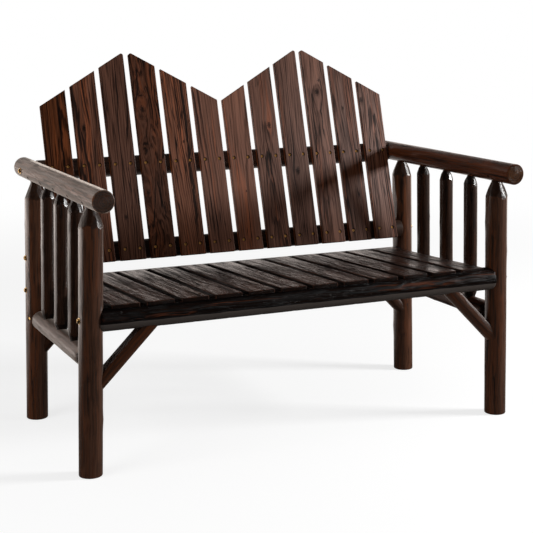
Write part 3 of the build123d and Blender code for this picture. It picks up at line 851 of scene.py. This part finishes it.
LOG_GRAIN = {"Pith Across": 0.0, "Pith Deep": 0.0, "Pith Lean": 0.0, "Ring Width": 0.0024, "Ring Depth": 0.3,
             "Wander": 0.02, "Warmth": 0.8, "Streaks": 0.9, "Burn": 0.32, "Checks": 0.1, "Gloss": 1.16,
             "bloom": 0.4}

# The varnish of the left arm and side rail has bloomed, and the right ones are still clear.
ARM_GRAIN = {
    "left": {"bloom": 1.0, "polish": 0.25, "Gloss": 0.75, "Streaks": 1.3, "Ring Depth": 0.4, "Burn": 0.3,
             "Checks": 0.0},
    "right": {"bloom": 0.0, "polish": 0.15, "Gloss": 0.95, "Streaks": 1.4},
}


class BENCH_OT_posts(bpy.types.Operator):
    """Model the four corner posts and carve their points"""
    bl_idname = "log_bench.posts"
    bl_label = "Corner Posts"

    def execute(self, context):
        logs = settings().logs
        model = peeled_log("Post Model", POST_RADIUS, low=-0.004, high=POINT_TOP, rings=40,
                           knots=((0.14, 0.6), (0.33, 3.4), (0.47, 5.1), (0.56, 2.0)),
                           knot_height=logs.knot_height, knot_reach=0.03)
        carve_point(model, POST_RADIUS, shoulder=0.6230, neck_radius=0.0135, neck=POINT_TOP,
                    tenon_end=0.6990, facets=logs.post_facets)
        for row in POST_ROWS:
            for side in SIDES:
                self.post(model, row, side)
        put_away(model)
        return {"FINISHED"}

    def post(self, model, row, side):
        """Stands one post in its corner, and cuts its foot and the seats of its bolts and lock screw."""
        y, sign, rear = POST_ROWS[row], SIDES[side], row == "rear"
        inward = -1 if rear else 1
        place, turn = (sign * POST_FOOT, y, 0), (0, -sign * POST_LEAN, 0)
        axis = (-sign * math.sin(POST_LEAN), 0, math.cos(POST_LEAN))
        grain = dict(LOG_GRAIN, Seed=11.0 + 2 * rear + sign, bloom=0.4 if sign > 0 else 0.65)
        material = wood(f"Post Wood {row} {side}", place, turn, log_tones(1.3 if rear else 1.0),
                        sawn=axis, carved={"radius": POST_RADIUS, "middle": 0.0, "reach": 0.612}, **grain)
        post = stand(model, f"log_post_{row}_{side}", 1.3 * rear + 0.8 * sign, turn, place,
                     f"post_{row}_{side}", material)
        self.foot(post)
        bolts = (SEAT_BOLTS[row], BACK_BOLT) if rear else (SEAT_BOLTS[row],)
        for z in bolts:
            sink(post, (sign * bolt_flat(z), y, z), (sign, 0, 0), radius=0.009, depth=0.0005)
        sink(post, (sign * LOCK_SCREW[0], y + inward * LOCK_SCREW[1], SIDE_RAIL_Z),
             (sign * LOCK_SCREW_WAY[0], inward * LOCK_SCREW_WAY[1], 0), radius=0.005, depth=0.001)
        soften(post, width=0.0007, angle=14)

    def foot(self, post):
        """Saws the foot level with the ground and breaks its edge."""
        slice_off(post, (0, 0, 0), (0, 0, -1))
        pick(post, lambda e, v: all(v[n].co.z < 0.0001 for n in e.vertices))
        bpy.ops.mesh.bevel(offset=0.003, segments=2, affect="EDGES")
        mode("OBJECT")


class BENCH_OT_spindles(bpy.types.Operator):
    """Model the six spindles and carve both of their ends"""
    bl_idname = "log_bench.spindles"
    bl_label = "Spindles"

    def execute(self, context):
        logs = settings().logs
        foot = 0.3170
        model = peeled_log("Spindle Model", SPINDLE_RADIUS, low=foot, high=POINT_TOP, rings=24,
                           knots=((0.40, 1.0), (0.52, 4.2)), knot_height=logs.knot_height * 0.7,
                           knot_reach=0.02, sides=36)
        carve_point(model, SPINDLE_RADIUS, shoulder=0.6420, neck_radius=0.0095, neck=POINT_TOP,
                    tenon_end=0.6980, facets=logs.spindle_facets)
        carve_point(model, SPINDLE_RADIUS, shoulder=0.3380, neck_radius=0.0140, neck=foot,
                    tenon_end=0.3000, facets=logs.spindle_facets, turn=0.4, belly=0.2)
        soften(model, width=0.0005, angle=14)
        for side, sign in SIDES.items():
            for number, y in enumerate(SPINDLE_ROWS, 1):
                place, turn = (sign * POST_FOOT, y, 0), (0, -sign * POST_LEAN, 0)
                material = wood(f"Spindle Wood {side} {number}", place, turn, log_tones(0.42),
                                carved={"radius": SPINDLE_RADIUS, "middle": 0.4975, "reach": 0.140},
                                **dict(LOG_GRAIN, Seed=21.0 + number + 4 * sign))
                stand(model, f"log_spindle_{side}_{number}", number * 2.1 + sign, turn, place,
                      f"spindle_{side}_{number}", material)
        put_away(model)
        return {"FINISHED"}


class BENCH_OT_side_rails(bpy.types.Operator):
    """Model the two side rails and carve their ends into the posts"""
    bl_idname = "log_bench.side_rails"
    bl_label = "Side Rails"

    def execute(self, context):
        logs = settings().logs
        front, back = 0.2503, 0.2013
        model = peeled_log("Side Rail Model", SIDE_RAIL_RADIUS, low=-front, high=back, rings=30,
                           knots=((-0.18, 2.6), (0.02, 0.4), (0.12, 4.0)), knot_height=logs.knot_height,
                           knot_reach=0.026)
        carve_point(model, SIDE_RAIL_RADIUS, shoulder=0.1800, neck_radius=0.0175, neck=back,
                    tenon_end=0.2300, facets=logs.spindle_facets, belly=0.2)
        carve_point(model, SIDE_RAIL_RADIUS, shoulder=-0.2290, neck_radius=0.0175, neck=-front,
                    tenon_end=-0.2790, facets=logs.spindle_facets, turn=0.3, belly=0.2)
        soften(model, width=0.0006, angle=14)
        for side, sign in SIDES.items():
            place = (sign * SIDE_RAIL_X, 0, SIDE_RAIL_Z)
            material = wood(f"Side Rail Wood {side}", place, FRONT_TO_BACK, log_tones(),
                            carved={"radius": SIDE_RAIL_RADIUS, "middle": -0.0245, "reach": 0.2},
                            **{**LOG_GRAIN, **ARM_GRAIN[side], "Seed": 31.0 + sign})
            stand(model, f"log_side_rail_{side}", sign * 1.1, FRONT_TO_BACK, place, f"side_rail_{side}",
                  material)
        put_away(model)
        return {"FINISHED"}


class BENCH_OT_arms(bpy.types.Operator):
    """Stain the two arm logs"""
    bl_idname = "log_bench.arms"
    bl_label = "Arms"

    tones = {"left": (paint(96, 72, 57), paint(30, 23, 19), paint(116, 68, 40)),
             "right": (paint(84, 45, 27), paint(22, 11, 7), paint(98, 46, 22))}
    cut_tones = {"left": (0.34, 0.22, 0.16), "right": (0.78, 1.12, 1.15)}

    def execute(self, context):
        for side, sign in SIDES.items():
            grain = {**LOG_GRAIN, "Wander": 0.015, **ARM_GRAIN[side], "Seed": 41.0 + sign}
            dress(f"arm_{side}", wood(
                f"Arm Wood {side}", (sign * ARM_X, 0, ARM_Z), FRONT_TO_BACK, self.tones[side],
                sawn=(0, 1, 0), cut_tone=self.cut_tones[side], **grain))
        return {"FINISHED"}


class BENCH_OT_seat_rails(bpy.types.Operator):
    """Hew and char the two rails that carry the seat"""
    bl_idname = "log_bench.seat_rails"
    bl_label = "Seat Rails"

    ledge_front = -0.0118           # of the front rail, from the rail's middle
    ledge_height = 0.4135
    gap_half = 0.0062               # half of the gap between two boards
    last_gap = 0.47
    squeeze = 0.22                  # makes the lumps of the log long along the rail

    def execute(self, context):
        common = dict(LOG_GRAIN, Warmth=0.5, Streaks=1.4, Burn=0.55, Checks=0.5, Gloss=0.95, bloom=0.0,
                      polish=0.12, relief=3.0, sawn=(1, 0, 0), turn=ALONG_BENCH,
                      tones=(paint(20, 12, 9), paint(4, 3, 3), paint(104, 54, 30)))
        # The pale band on the rail's lower face is a painted reflection of the white floor, and the darkened
        # ledge is painted shade under the seat boards.
        front = wood("Rail Wood seat_rail_front", (0, *SEAT_RAILS["front"]), Seed=51.0, ledge=-0.0132,
                     floor_reflection_band={"edge": 0.0085, "top": -0.0215, "tone": paint(72, 65, 61)}, **common)
        rear = wood("Rail Wood seat_rail_rear", (0, *SEAT_RAILS["rear"]), Seed=52.0, **common)
        self.hew("seat_rail_front", *SEAT_RAILS["front"], front)
        dress("seat_rail_rear", rear)
        return {"FINISHED"}

    def hew(self, name, y, z, material):
        """The front rail keeps the lumps of the log on its face and top, and is smooth below them."""
        bpy.ops.object.select_all(action="DESELECT")
        rail = bpy.data.objects.new("log_seat_rail_front", NODES[name].data.copy())
        bpy.context.scene.collection.objects.link(rail)
        take(rail)
        mode("EDIT")
        bpy.ops.mesh.select_all(action="SELECT")
        bpy.ops.mesh.remove_doubles(threshold=0.00001)
        mode("OBJECT")
        grid = rail.modifiers.new("Even Mesh", "REMESH")
        grid.mode = "VOXEL"
        grid.voxel_size = 0.0026
        finish_modifiers(rail)
        self.raise_ledge(rail, y)
        self.mark_rough_face(rail, y, z)
        rail.scale = (self.squeeze, 1, 1)
        fix_in_place()
        for size, strength in ((0.04, 0.0080), (0.014, 0.0040)):
            swell(rail, "Rail Lumps", size, strength, noise_depth=2, mid_level=0.62, group="Rough Face")
        finish_modifiers(rail)
        rail.scale = (1 / self.squeeze, 1, 1)
        fix_in_place()
        bpy.ops.object.shade_smooth_by_angle(angle=math.radians(50))
        install(rail, "log_seat_rail_front", name, material)

    def raise_ledge(self, rail, y):
        """The ledge was left a little high between the boards."""
        def between_boards(vertex, _):
            across, forward, up = vertex.co
            off = abs(across - BOARD_PITCH * round(across / BOARD_PITCH))
            on_ledge = forward > y + self.ledge_front and up > self.ledge_height
            return on_ledge and off < self.gap_half and abs(across) < self.last_gap
        pick(rail, between_boards, "vertices")
        bpy.ops.transform.translate(value=(0, 0, 0.004))
        mode("OBJECT")

    def mark_rough_face(self, rail, y, z):
        """Weighs each point by how much of the log's own lumps is left there."""
        rough = rail.vertex_groups.new(name="Rough Face")
        for vertex in rail.data.vertices:
            ahead, up = y - vertex.co.y, vertex.co.z - z
            angle = math.degrees(math.atan2(up, ahead))
            face = ramp(angle, -16, -11) * ramp(ahead, -0.012, -0.006)
            end = ramp(abs(vertex.co.x), 0.535, 0.555)
            rough.add([vertex.index], face * (1 - 0.7 * end), "REPLACE")


class BENCH_OT_back_rails(bpy.types.Operator):
    """Char the two rails behind the back slats"""
    bl_idname = "log_bench.back_rails"
    bl_label = "Back Rails"

    def execute(self, context):
        tones = (paint(86, 61, 48), paint(44, 30, 24), paint(108, 66, 42))
        # The lower rail takes these tones at less than half strength and the upper at a little over full:
        # painted shade and painted light for how much light reaches each behind the slats.
        for place, seed, strength, polish in (("lower", 61.0, 0.45, 0.1), ("upper", 62.0, 1.1, 0.5)):
            name = f"back_rail_{place}"
            grain = dict(LOG_GRAIN, Seed=seed, Warmth=0.3, Burn=0.5, Checks=0.3, Gloss=0.6, bloom=0.0)
            dress(name, wood(
                f"Rail Wood {name}", (0, *BACK_RAILS[place]), ALONG_BENCH,
                [toned(tone, strength) for tone in tones], sawn=(1, 0, 0), polish=polish, **grain))
        return {"FINISHED"}


# Each back slat: its tone and its share of grey, which is partly ash and partly a painted reflection of the
# varnish's sheen, then knots as (across, up, size, swirl) and streaks as (across, up, lean, half length, half
# width) in millimetres from the middle of its foot, then what differs in its grain.
BACK_SLATS = (
    (0.5, -0.3, (), ((12, 330, 0.0, 240, 4),),
     {"Pith Across": 0.02, "Warmth": 0.72, "Streaks": 1.0, "Burn": 0.3, "polish": 0.12}),
    (0.68, 0.0, ((-11, 382, 6, 1.0),), (),
     {"Pith Across": -0.03, "Warmth": 0.75, "polish": 0.3}),
    (0.55, 0.0, ((-10, 122, 6, 0.6),), (),
     {"Pith Across": 0.05, "Warmth": 0.3, "Streaks": 0.9, "polish": 0.3}),
    (0.39, -0.2, ((-16, 430, 8, 1.6), (-17, 308, 7, 1.4), (-27, 187, 8, 1.3)),
     ((-14, 150, 0.12, 90, 4), (-20, 500, 0.0, 60, 5), (8, 180, -0.1, 50, 4)),
     {"Ring Width": 0.006, "Ring Depth": 0.7, "Wander": 0.05, "Warmth": 0.8, "Streaks": 1.1, "Burn": 0.5,
      "Checks": 0.7, "polish": 0.2}),
    (0.97, -0.2, ((8, 330, 4, 0.6),), ((20, 300, 0.0, 300, 6.5),),
     {"Pith Across": -0.05, "Warmth": 0.7, "Streaks": 0.7}),
    (1.02, 0.1, (), (),
     {"Pith Across": -0.06, "Ring Width": 0.0065, "Ring Depth": 0.55, "Wander": 0.008, "Warmth": 0.4,
      "Streaks": 0.5}),
    (0.98, 0.0, ((4, 174, 3, 0.5),), (),
     {"Pith Across": 0.04, "Ring Width": 0.006, "Ring Depth": 0.4, "Warmth": 0.7, "Streaks": 0.6}),
    (0.7, -0.1, ((12, 368, 8, 1.0),), ((3, 250, -0.03, 95, 3),),
     {"Ring Width": 0.003, "Ring Depth": 0.5, "Wander": 0.006, "Warmth": 0.5, "Streaks": 0.9, "Checks": 0.6}),
    (0.71, 0.0, ((-4, 227, 9, 1.0),), (),
     {"Pith Across": 0.06, "Warmth": 0.35, "Streaks": 0.7}),
    (0.83, 0.0, ((3, 463, 8, 1.2), (8, 500, 4, 0.6)), ((8, 380, -0.02, 70, 2.5),),
     {"Ring Width": 0.003, "Ring Depth": 0.5, "Wander": 0.007, "Warmth": 0.5, "Streaks": 1.0}),
    (0.59, -0.2, ((-6, 411, 4, 0.8),), (),
     {"Pith Across": -0.04, "Wander": 0.007, "Warmth": 0.75, "Streaks": 1.0}),
    (0.86, 0.1, ((-31, 434, 7, 1.0),), ((-12, 415, 0.1, 45, 2.5),),
     {"Ring Width": 0.0034, "Ring Depth": 0.6, "Wander": 0.007, "Warmth": 0.7, "Streaks": 1.3, "Burn": 0.25}),
)


def slat_tones(tone, ash_and_sheen):
    """Light, dark and warm tones of one back slat. The grey share is partly ash and partly a painted
    reflection of the varnish's sheen; below nothing it makes the slat browner than the plain tone.
    """
    w = settings().wood
    light = [max(0.001, plain + (grey - plain) * ash_and_sheen) for plain, grey in zip(w.slat_light, w.slat_ash)]
    dark = [max(0.001, c + (sum(w.slat_dark) / 3 - c) * 0.5 * ash_and_sheen) for c in w.slat_dark]
    return tuple(toned(shade, tone) for shade in (light, dark, w.slat_warm))


class BENCH_OT_back_slats(bpy.types.Operator):
    """Burn and brush the twelve slats of the back"""
    bl_idname = "log_bench.back_slats"
    bl_label = "Back Slats"

    def execute(self, context):
        common = {"Pith Across": 0.0, "Pith Deep": 0.045, "Pith Lean": 0.03, "Wander": 0.012,
                  "Ring Width": settings().wood.ring_width, "Ring Depth": 0.75, "Warmth": 0.5,
                  "Streaks": 1.15, "Burn": 0.25, "Checks": 0.5, "Gloss": 0.68, "polish": 0.38}
        for number, (tone, ash_and_sheen, knots, streaks, own) in enumerate(BACK_SLATS, 1):
            dress(f"back_slat_{number:02d}", wood(
                f"Back Slat Wood {number:02d}", ((number - MIDDLE_BOARD) * BOARD_PITCH, *BACK_SLAT_FOOT),
                (-BACK_RAKE, 0, 0), slat_tones(tone, ash_and_sheen), knots, streaks, board=True, brushed=True,
                relief=0.6, **{**common, **own, "Seed": 1.0 + number * 1.7}))
        return {"FINISHED"}


class BENCH_OT_seat_slats(bpy.types.Operator):
    """Burn and brush the twelve slats of the seat"""
    bl_idname = "log_bench.seat_slats"
    bl_label = "Seat Slats"

    def execute(self, context):
        w = settings().wood
        tones = (w.seat_light, w.seat_dark, paint(74, 42, 28))
        lengthwise = (0, math.cos(SEAT_TILT), -math.sin(SEAT_TILT))
        common = {"Pith Deep": 0.04, "Pith Lean": 0.03, "Ring Width": w.ring_width, "Ring Depth": 0.5,
                  "Wander": 0.012, "Warmth": 0.5, "Streaks": 1.6, "Burn": 0.3, "Checks": 0.35, "Gloss": 1.08}
        for number in range(1, 13):
            # cut_tone 0.1 darkens the sawn ends of the seat slats almost to black: painted shade.
            dress(f"seat_slat_{number:02d}", wood(
                f"Seat Slat Wood {number:02d}", ((number - MIDDLE_BOARD) * BOARD_PITCH, *SEAT_SLAT_FRONT),
                (-math.pi / 2 - SEAT_TILT, 0, 0), tones, board=True, sawn=lengthwise, cut_tone=0.1,
                polish=0.46, ior=1.15, relief=2.2,
                **{**common, "Seed": 70.0 + number * 2.3, "Pith Across": 0.03 * math.sin(number * 2.4)}))
        return {"FINISHED"}


class BENCH_OT_braces(bpy.types.Operator):
    """Stain the four diagonal braces under the seat"""
    bl_idname = "log_bench.braces"
    bl_label = "Braces"

    strengths = {"left": 0.75, "right": 0.85}
    blooms = {"left": 0.05, "right": 0.7}

    def execute(self, context):
        for row in SEAT_RAILS:
            for side, sign in SIDES.items():
                low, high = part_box(f"brace_{row}_{side}")
                middle = tuple((a + b) / 2 for a, b in zip(low, high))
                grain = dict(LOG_GRAIN, Seed=95.0 + 2 * (row == "rear") + sign, bloom=self.blooms[side])
                dress(f"brace_{row}_{side}", wood(
                    f"Brace Wood {row} {side}", middle, (0, -sign * math.pi / 4, 0),
                    log_tones(self.strengths[side]), polish=0.35, **grain))
        return {"FINISHED"}


class BENCH_OT_fasteners(bpy.types.Operator):
    """Finish the brass bolts and screws, the steel screws and the dowels"""
    bl_idname = "log_bench.fasteners"
    bl_label = "Bolts and Screws"

    def execute(self, context):
        m = settings().metal
        brass = metal("Brass", m.brass, m.tarnish, wear=0.3)
        dull = metal("Dull Brass", paint(180, 128, 68), m.tarnish, wear=0.5, bare=0.3)
        steel = metal("Zinc Steel", m.steel, paint(90, 92, 95), wear=0.5)
        post_seats = [(sign, bolt_flat(z), POST_ROWS[row], z) for sign in SIDES.values()
                      for row, z in (*SEAT_BOLTS.items(), ("rear", BACK_BOLT))]
        arm_seats = [(sign, *ARM_BOLT) for sign in SIDES.values()]
        self.bolts("log_rail_bolts", "rail_bolts", brass, post_seats, length=0.060)
        self.bolts("log_arm_bolts", "arm_bolts", brass, arm_seats, length=0.045)
        for material, names in ((brass, ("arm_screws", "side_rail_screws")),
                                (dull, ("back_screws_lower", "back_screws_upper")),
                                (steel, ("seat_screws_front", "seat_screws_rear"))):
            for name in names:
                dress(name, material)
        tones = (paint(190, 150, 105), paint(150, 110, 70), paint(200, 150, 100))
        dress("brace_dowels", wood("Dowel Wood", (0, 0, 0), (0, 0, 0), tones,
                                   **dict(LOG_GRAIN, Seed=99.0, Burn=0.0)))
        return {"FINISHED"}

    flange_radius, flange_depth, flange_rim = 0.0088, 0.0016, 0.0022
    dome = ((0.0014, 0.97), (0.0014, 0.9), (0.0011, 0.82), (0.0005, 0.8))   # rises and how much each shrinks
    socket_wall, socket_depth = 0.0008, 0.0022
    shank_radius = 0.0040

    def bolts(self, name, node, material, seats, length):
        """One flanged dome-headed bolt, copied to every seat: (side, surface across, forward, up)."""
        mode("OBJECT")
        bpy.ops.object.select_all(action="DESELECT")
        bpy.ops.mesh.primitive_cylinder_add(vertices=32, radius=self.flange_radius, depth=self.flange_depth,
                                            location=(0, 0, self.flange_depth / 2))
        bolt = bpy.context.active_object
        fix_in_place()
        pick(bolt, lambda f, v: f.normal.z > 0.9, "polygons")
        bpy.ops.mesh.inset(thickness=self.flange_rim)
        for rise, shrink in self.dome:
            draw_out(rise)
            bpy.ops.transform.resize(value=(shrink, shrink, 1), center_override=(0, 0, 0))
        bpy.ops.mesh.inset(thickness=self.socket_wall)
        draw_out(-self.socket_depth)
        pick(bolt, lambda f, v: f.normal.z < -0.9, "polygons")
        bpy.ops.mesh.inset(thickness=self.flange_radius - self.shank_radius)
        draw_out(-length)
        mode("OBJECT")
        soften(bolt, width=0.0002, angle=50)
        copies = [copy_at(bolt, (sign * across, forward, up), (0, sign * math.pi / 2, 0))
                  for sign, across, forward, up in seats]
        put_away(bolt)
        take(*copies)
        bpy.ops.object.join()
        install(copies[0], name, node, material)


# ---------------------------------------------------------------- stage

class BENCH_OT_stage(bpy.types.Operator):
    """Set the floor, the room light, the lamps and the camera"""
    bl_idname = "log_bench.stage"
    bl_label = "Floor, Lamps and Camera"

    def execute(self, context):
        self.floor(context)
        self.room(context)
        self.lamps(context)
        self.camera(context)
        context.scene.view_settings.view_transform = "Standard"
        return {"FINISHED"}

    def backdrop(self, w, behind, box):
        """Share of plain white that a ray meets: all of it from the camera, and for mirror-like rays what
        stands behind the bench and a soft box at its left, because the room in front of it is dim."""
        studio = settings().studio
        path = w.results(w.put("ShaderNodeLightPath"))
        seen = behind.at_least(box * studio.soft_box)
        mirror = path["Is Glossy Ray"] * seen.at_least(studio.dim)
        white = path["Is Camera Ray"].at_least(mirror).at_least(path["Is Transmission Ray"])
        tint = w.blend(path["Is Glossy Ray"], (1, 1, 1), (1, 0.9, 0.84))
        return white, path["Is Diffuse Ray"], tint

    def floor(self, context):
        """A white floor that fades into the room, and takes part of its light from the lamps."""
        bpy.ops.object.select_all(action="DESELECT")
        bpy.ops.mesh.primitive_plane_add(size=settings().studio.floor_size, location=(0, 0, 0))
        floor = context.active_object
        floor.name = "Studio Floor"
        material = bpy.data.materials.new("Studio Floor White")
        w = cleared(material)
        x, y, _ = w.split(w.made("ShaderNodeTexCoord", out="Object"))
        box = w.step(x, -1.4, -2.3) * w.step(y, 0.15, 0.5)
        white, bounced, tint = self.backdrop(w, w.step(y, 0.2, 0.9), box)
        away = w.step(w.vector("LENGTH", w.join(x, y, 0.0), out="Value"), 1.4, 4.5)
        pale = (white * (away * -0.3 + 0.3)).clamped()
        soft = w.made("ShaderNodeBsdfDiffuse", {"Color": w.join(pale, pale, pale)})
        glow = w.made("ShaderNodeEmission", {"Color": tint, "Strength": white * (away * 0.245 + 0.755)})
        both = w.made("ShaderNodeAddShader", {0: soft, 1: glow})
        matt = w.made("ShaderNodeBsdfDiffuse", {"Color": paint(205, 205, 205)})
        w.put("ShaderNodeOutputMaterial", {
            "Surface": w.made("ShaderNodeMixShader", {0: bounced, 1: both, 2: matt})})
        floor.data.materials.append(material)

    def room(self, context):
        """Even light all round, white to the camera."""
        world = bpy.data.worlds.new("Studio Room")
        w = cleared(world)
        x, y, z = w.split(w.made("ShaderNodeTexCoord", out="Generated"))
        box = w.step(x, -0.55, -0.8) * w.step(y, 0.3, 0.45)
        behind = w.step(y, 0.35, 0.65) * w.step(z, 0.6, 0.3, 0.1, 1.0)
        white, bounced, tint = self.backdrop(w, behind, box)
        strength = white + bounced * settings().studio.sky
        w.put("ShaderNodeOutputWorld", {
            "Surface": w.made("ShaderNodeBackground", {"Color": tint, "Strength": strength})})
        context.scene.world = world

    def lamps(self, context):
        """A key lamp at the right and a larger, softer one at the front left, both aimed at the bench."""
        studio = settings().studio
        aim = Vector((0, 0, 0.5))
        for name, power, wide, tall, spot in (("Key Lamp", studio.key_power, 1.0, 0.7, (3.8, -1.72, 1.66)),
                                              ("Fill Lamp", studio.fill_power, 2.4, 2.4, (-3.9, -1.3, 2.3))):
            bpy.ops.object.light_add(type="AREA", location=spot)
            lamp = context.active_object
            lamp.name = name
            lamp.data.energy = power
            lamp.data.shape = "RECTANGLE"
            lamp.data.size, lamp.data.size_y = wide, tall
            lamp.visible_glossy = name == "Key Lamp"
            lamp.rotation_euler = (aim - Vector(spot)).to_track_quat("-Z", "Y").to_euler()

    def camera(self, context):
        turn = [math.radians(a) for a in (78.6271783, 0.1260619, -24.6749438)]
        bpy.ops.object.camera_add(location=(-1.4644075, -3.2135888, 1.1363365), rotation=turn)
        camera = context.active_object
        camera.name = "Bench Camera"
        camera.data.sensor_width = 36
        camera.data.lens = settings().studio.lens
        camera.data.clip_start = 0.05
        context.scene.camera = camera


# ---------------------------------------------------------------- panel and start

PIECES = (BENCH_OT_posts, BENCH_OT_spindles, BENCH_OT_side_rails, BENCH_OT_arms, BENCH_OT_seat_rails,
          BENCH_OT_back_rails, BENCH_OT_back_slats, BENCH_OT_seat_slats, BENCH_OT_braces, BENCH_OT_fasteners,
          BENCH_OT_stage)


class BENCH_PT_panel(bpy.types.Panel):
    """Sidebar list of the bench's pieces"""
    bl_idname = "BENCH_PT_panel"
    bl_label = "Rustic Log Bench"
    bl_space_type = "VIEW_3D"
    bl_region_type = "UI"
    bl_category = "Log Bench"

    def draw(self, context):
        layout = self.layout
        for piece in PIECES:
            layout.operator(piece.bl_idname)
        for part in (settings().wood, settings().metal, settings().logs, settings().studio):
            box = layout.box()
            for key in part.__annotations__:
                box.prop(part, key)


CLASSES = (BenchWood, BenchMetal, BenchLogs, BenchStudio, BenchSettings, *PIECES, BENCH_PT_panel)


def register():
    for kind in CLASSES:
        bpy.utils.register_class(kind)
    bpy.types.Scene.log_bench = PointerProperty(type=BenchSettings)


def unregister():
    del bpy.types.Scene.log_bench
    for kind in reversed(CLASSES):
        bpy.utils.unregister_class(kind)


def main():
    register()
    bpy.ops.log_bench.posts()
    bpy.ops.log_bench.spindles()
    bpy.ops.log_bench.side_rails()
    bpy.ops.log_bench.arms()
    bpy.ops.log_bench.seat_rails()
    bpy.ops.log_bench.back_rails()
    bpy.ops.log_bench.back_slats()
    bpy.ops.log_bench.seat_slats()
    bpy.ops.log_bench.braces()
    bpy.ops.log_bench.fasteners()
    bpy.ops.log_bench.stage()


if __name__ == "__main__":
    main()
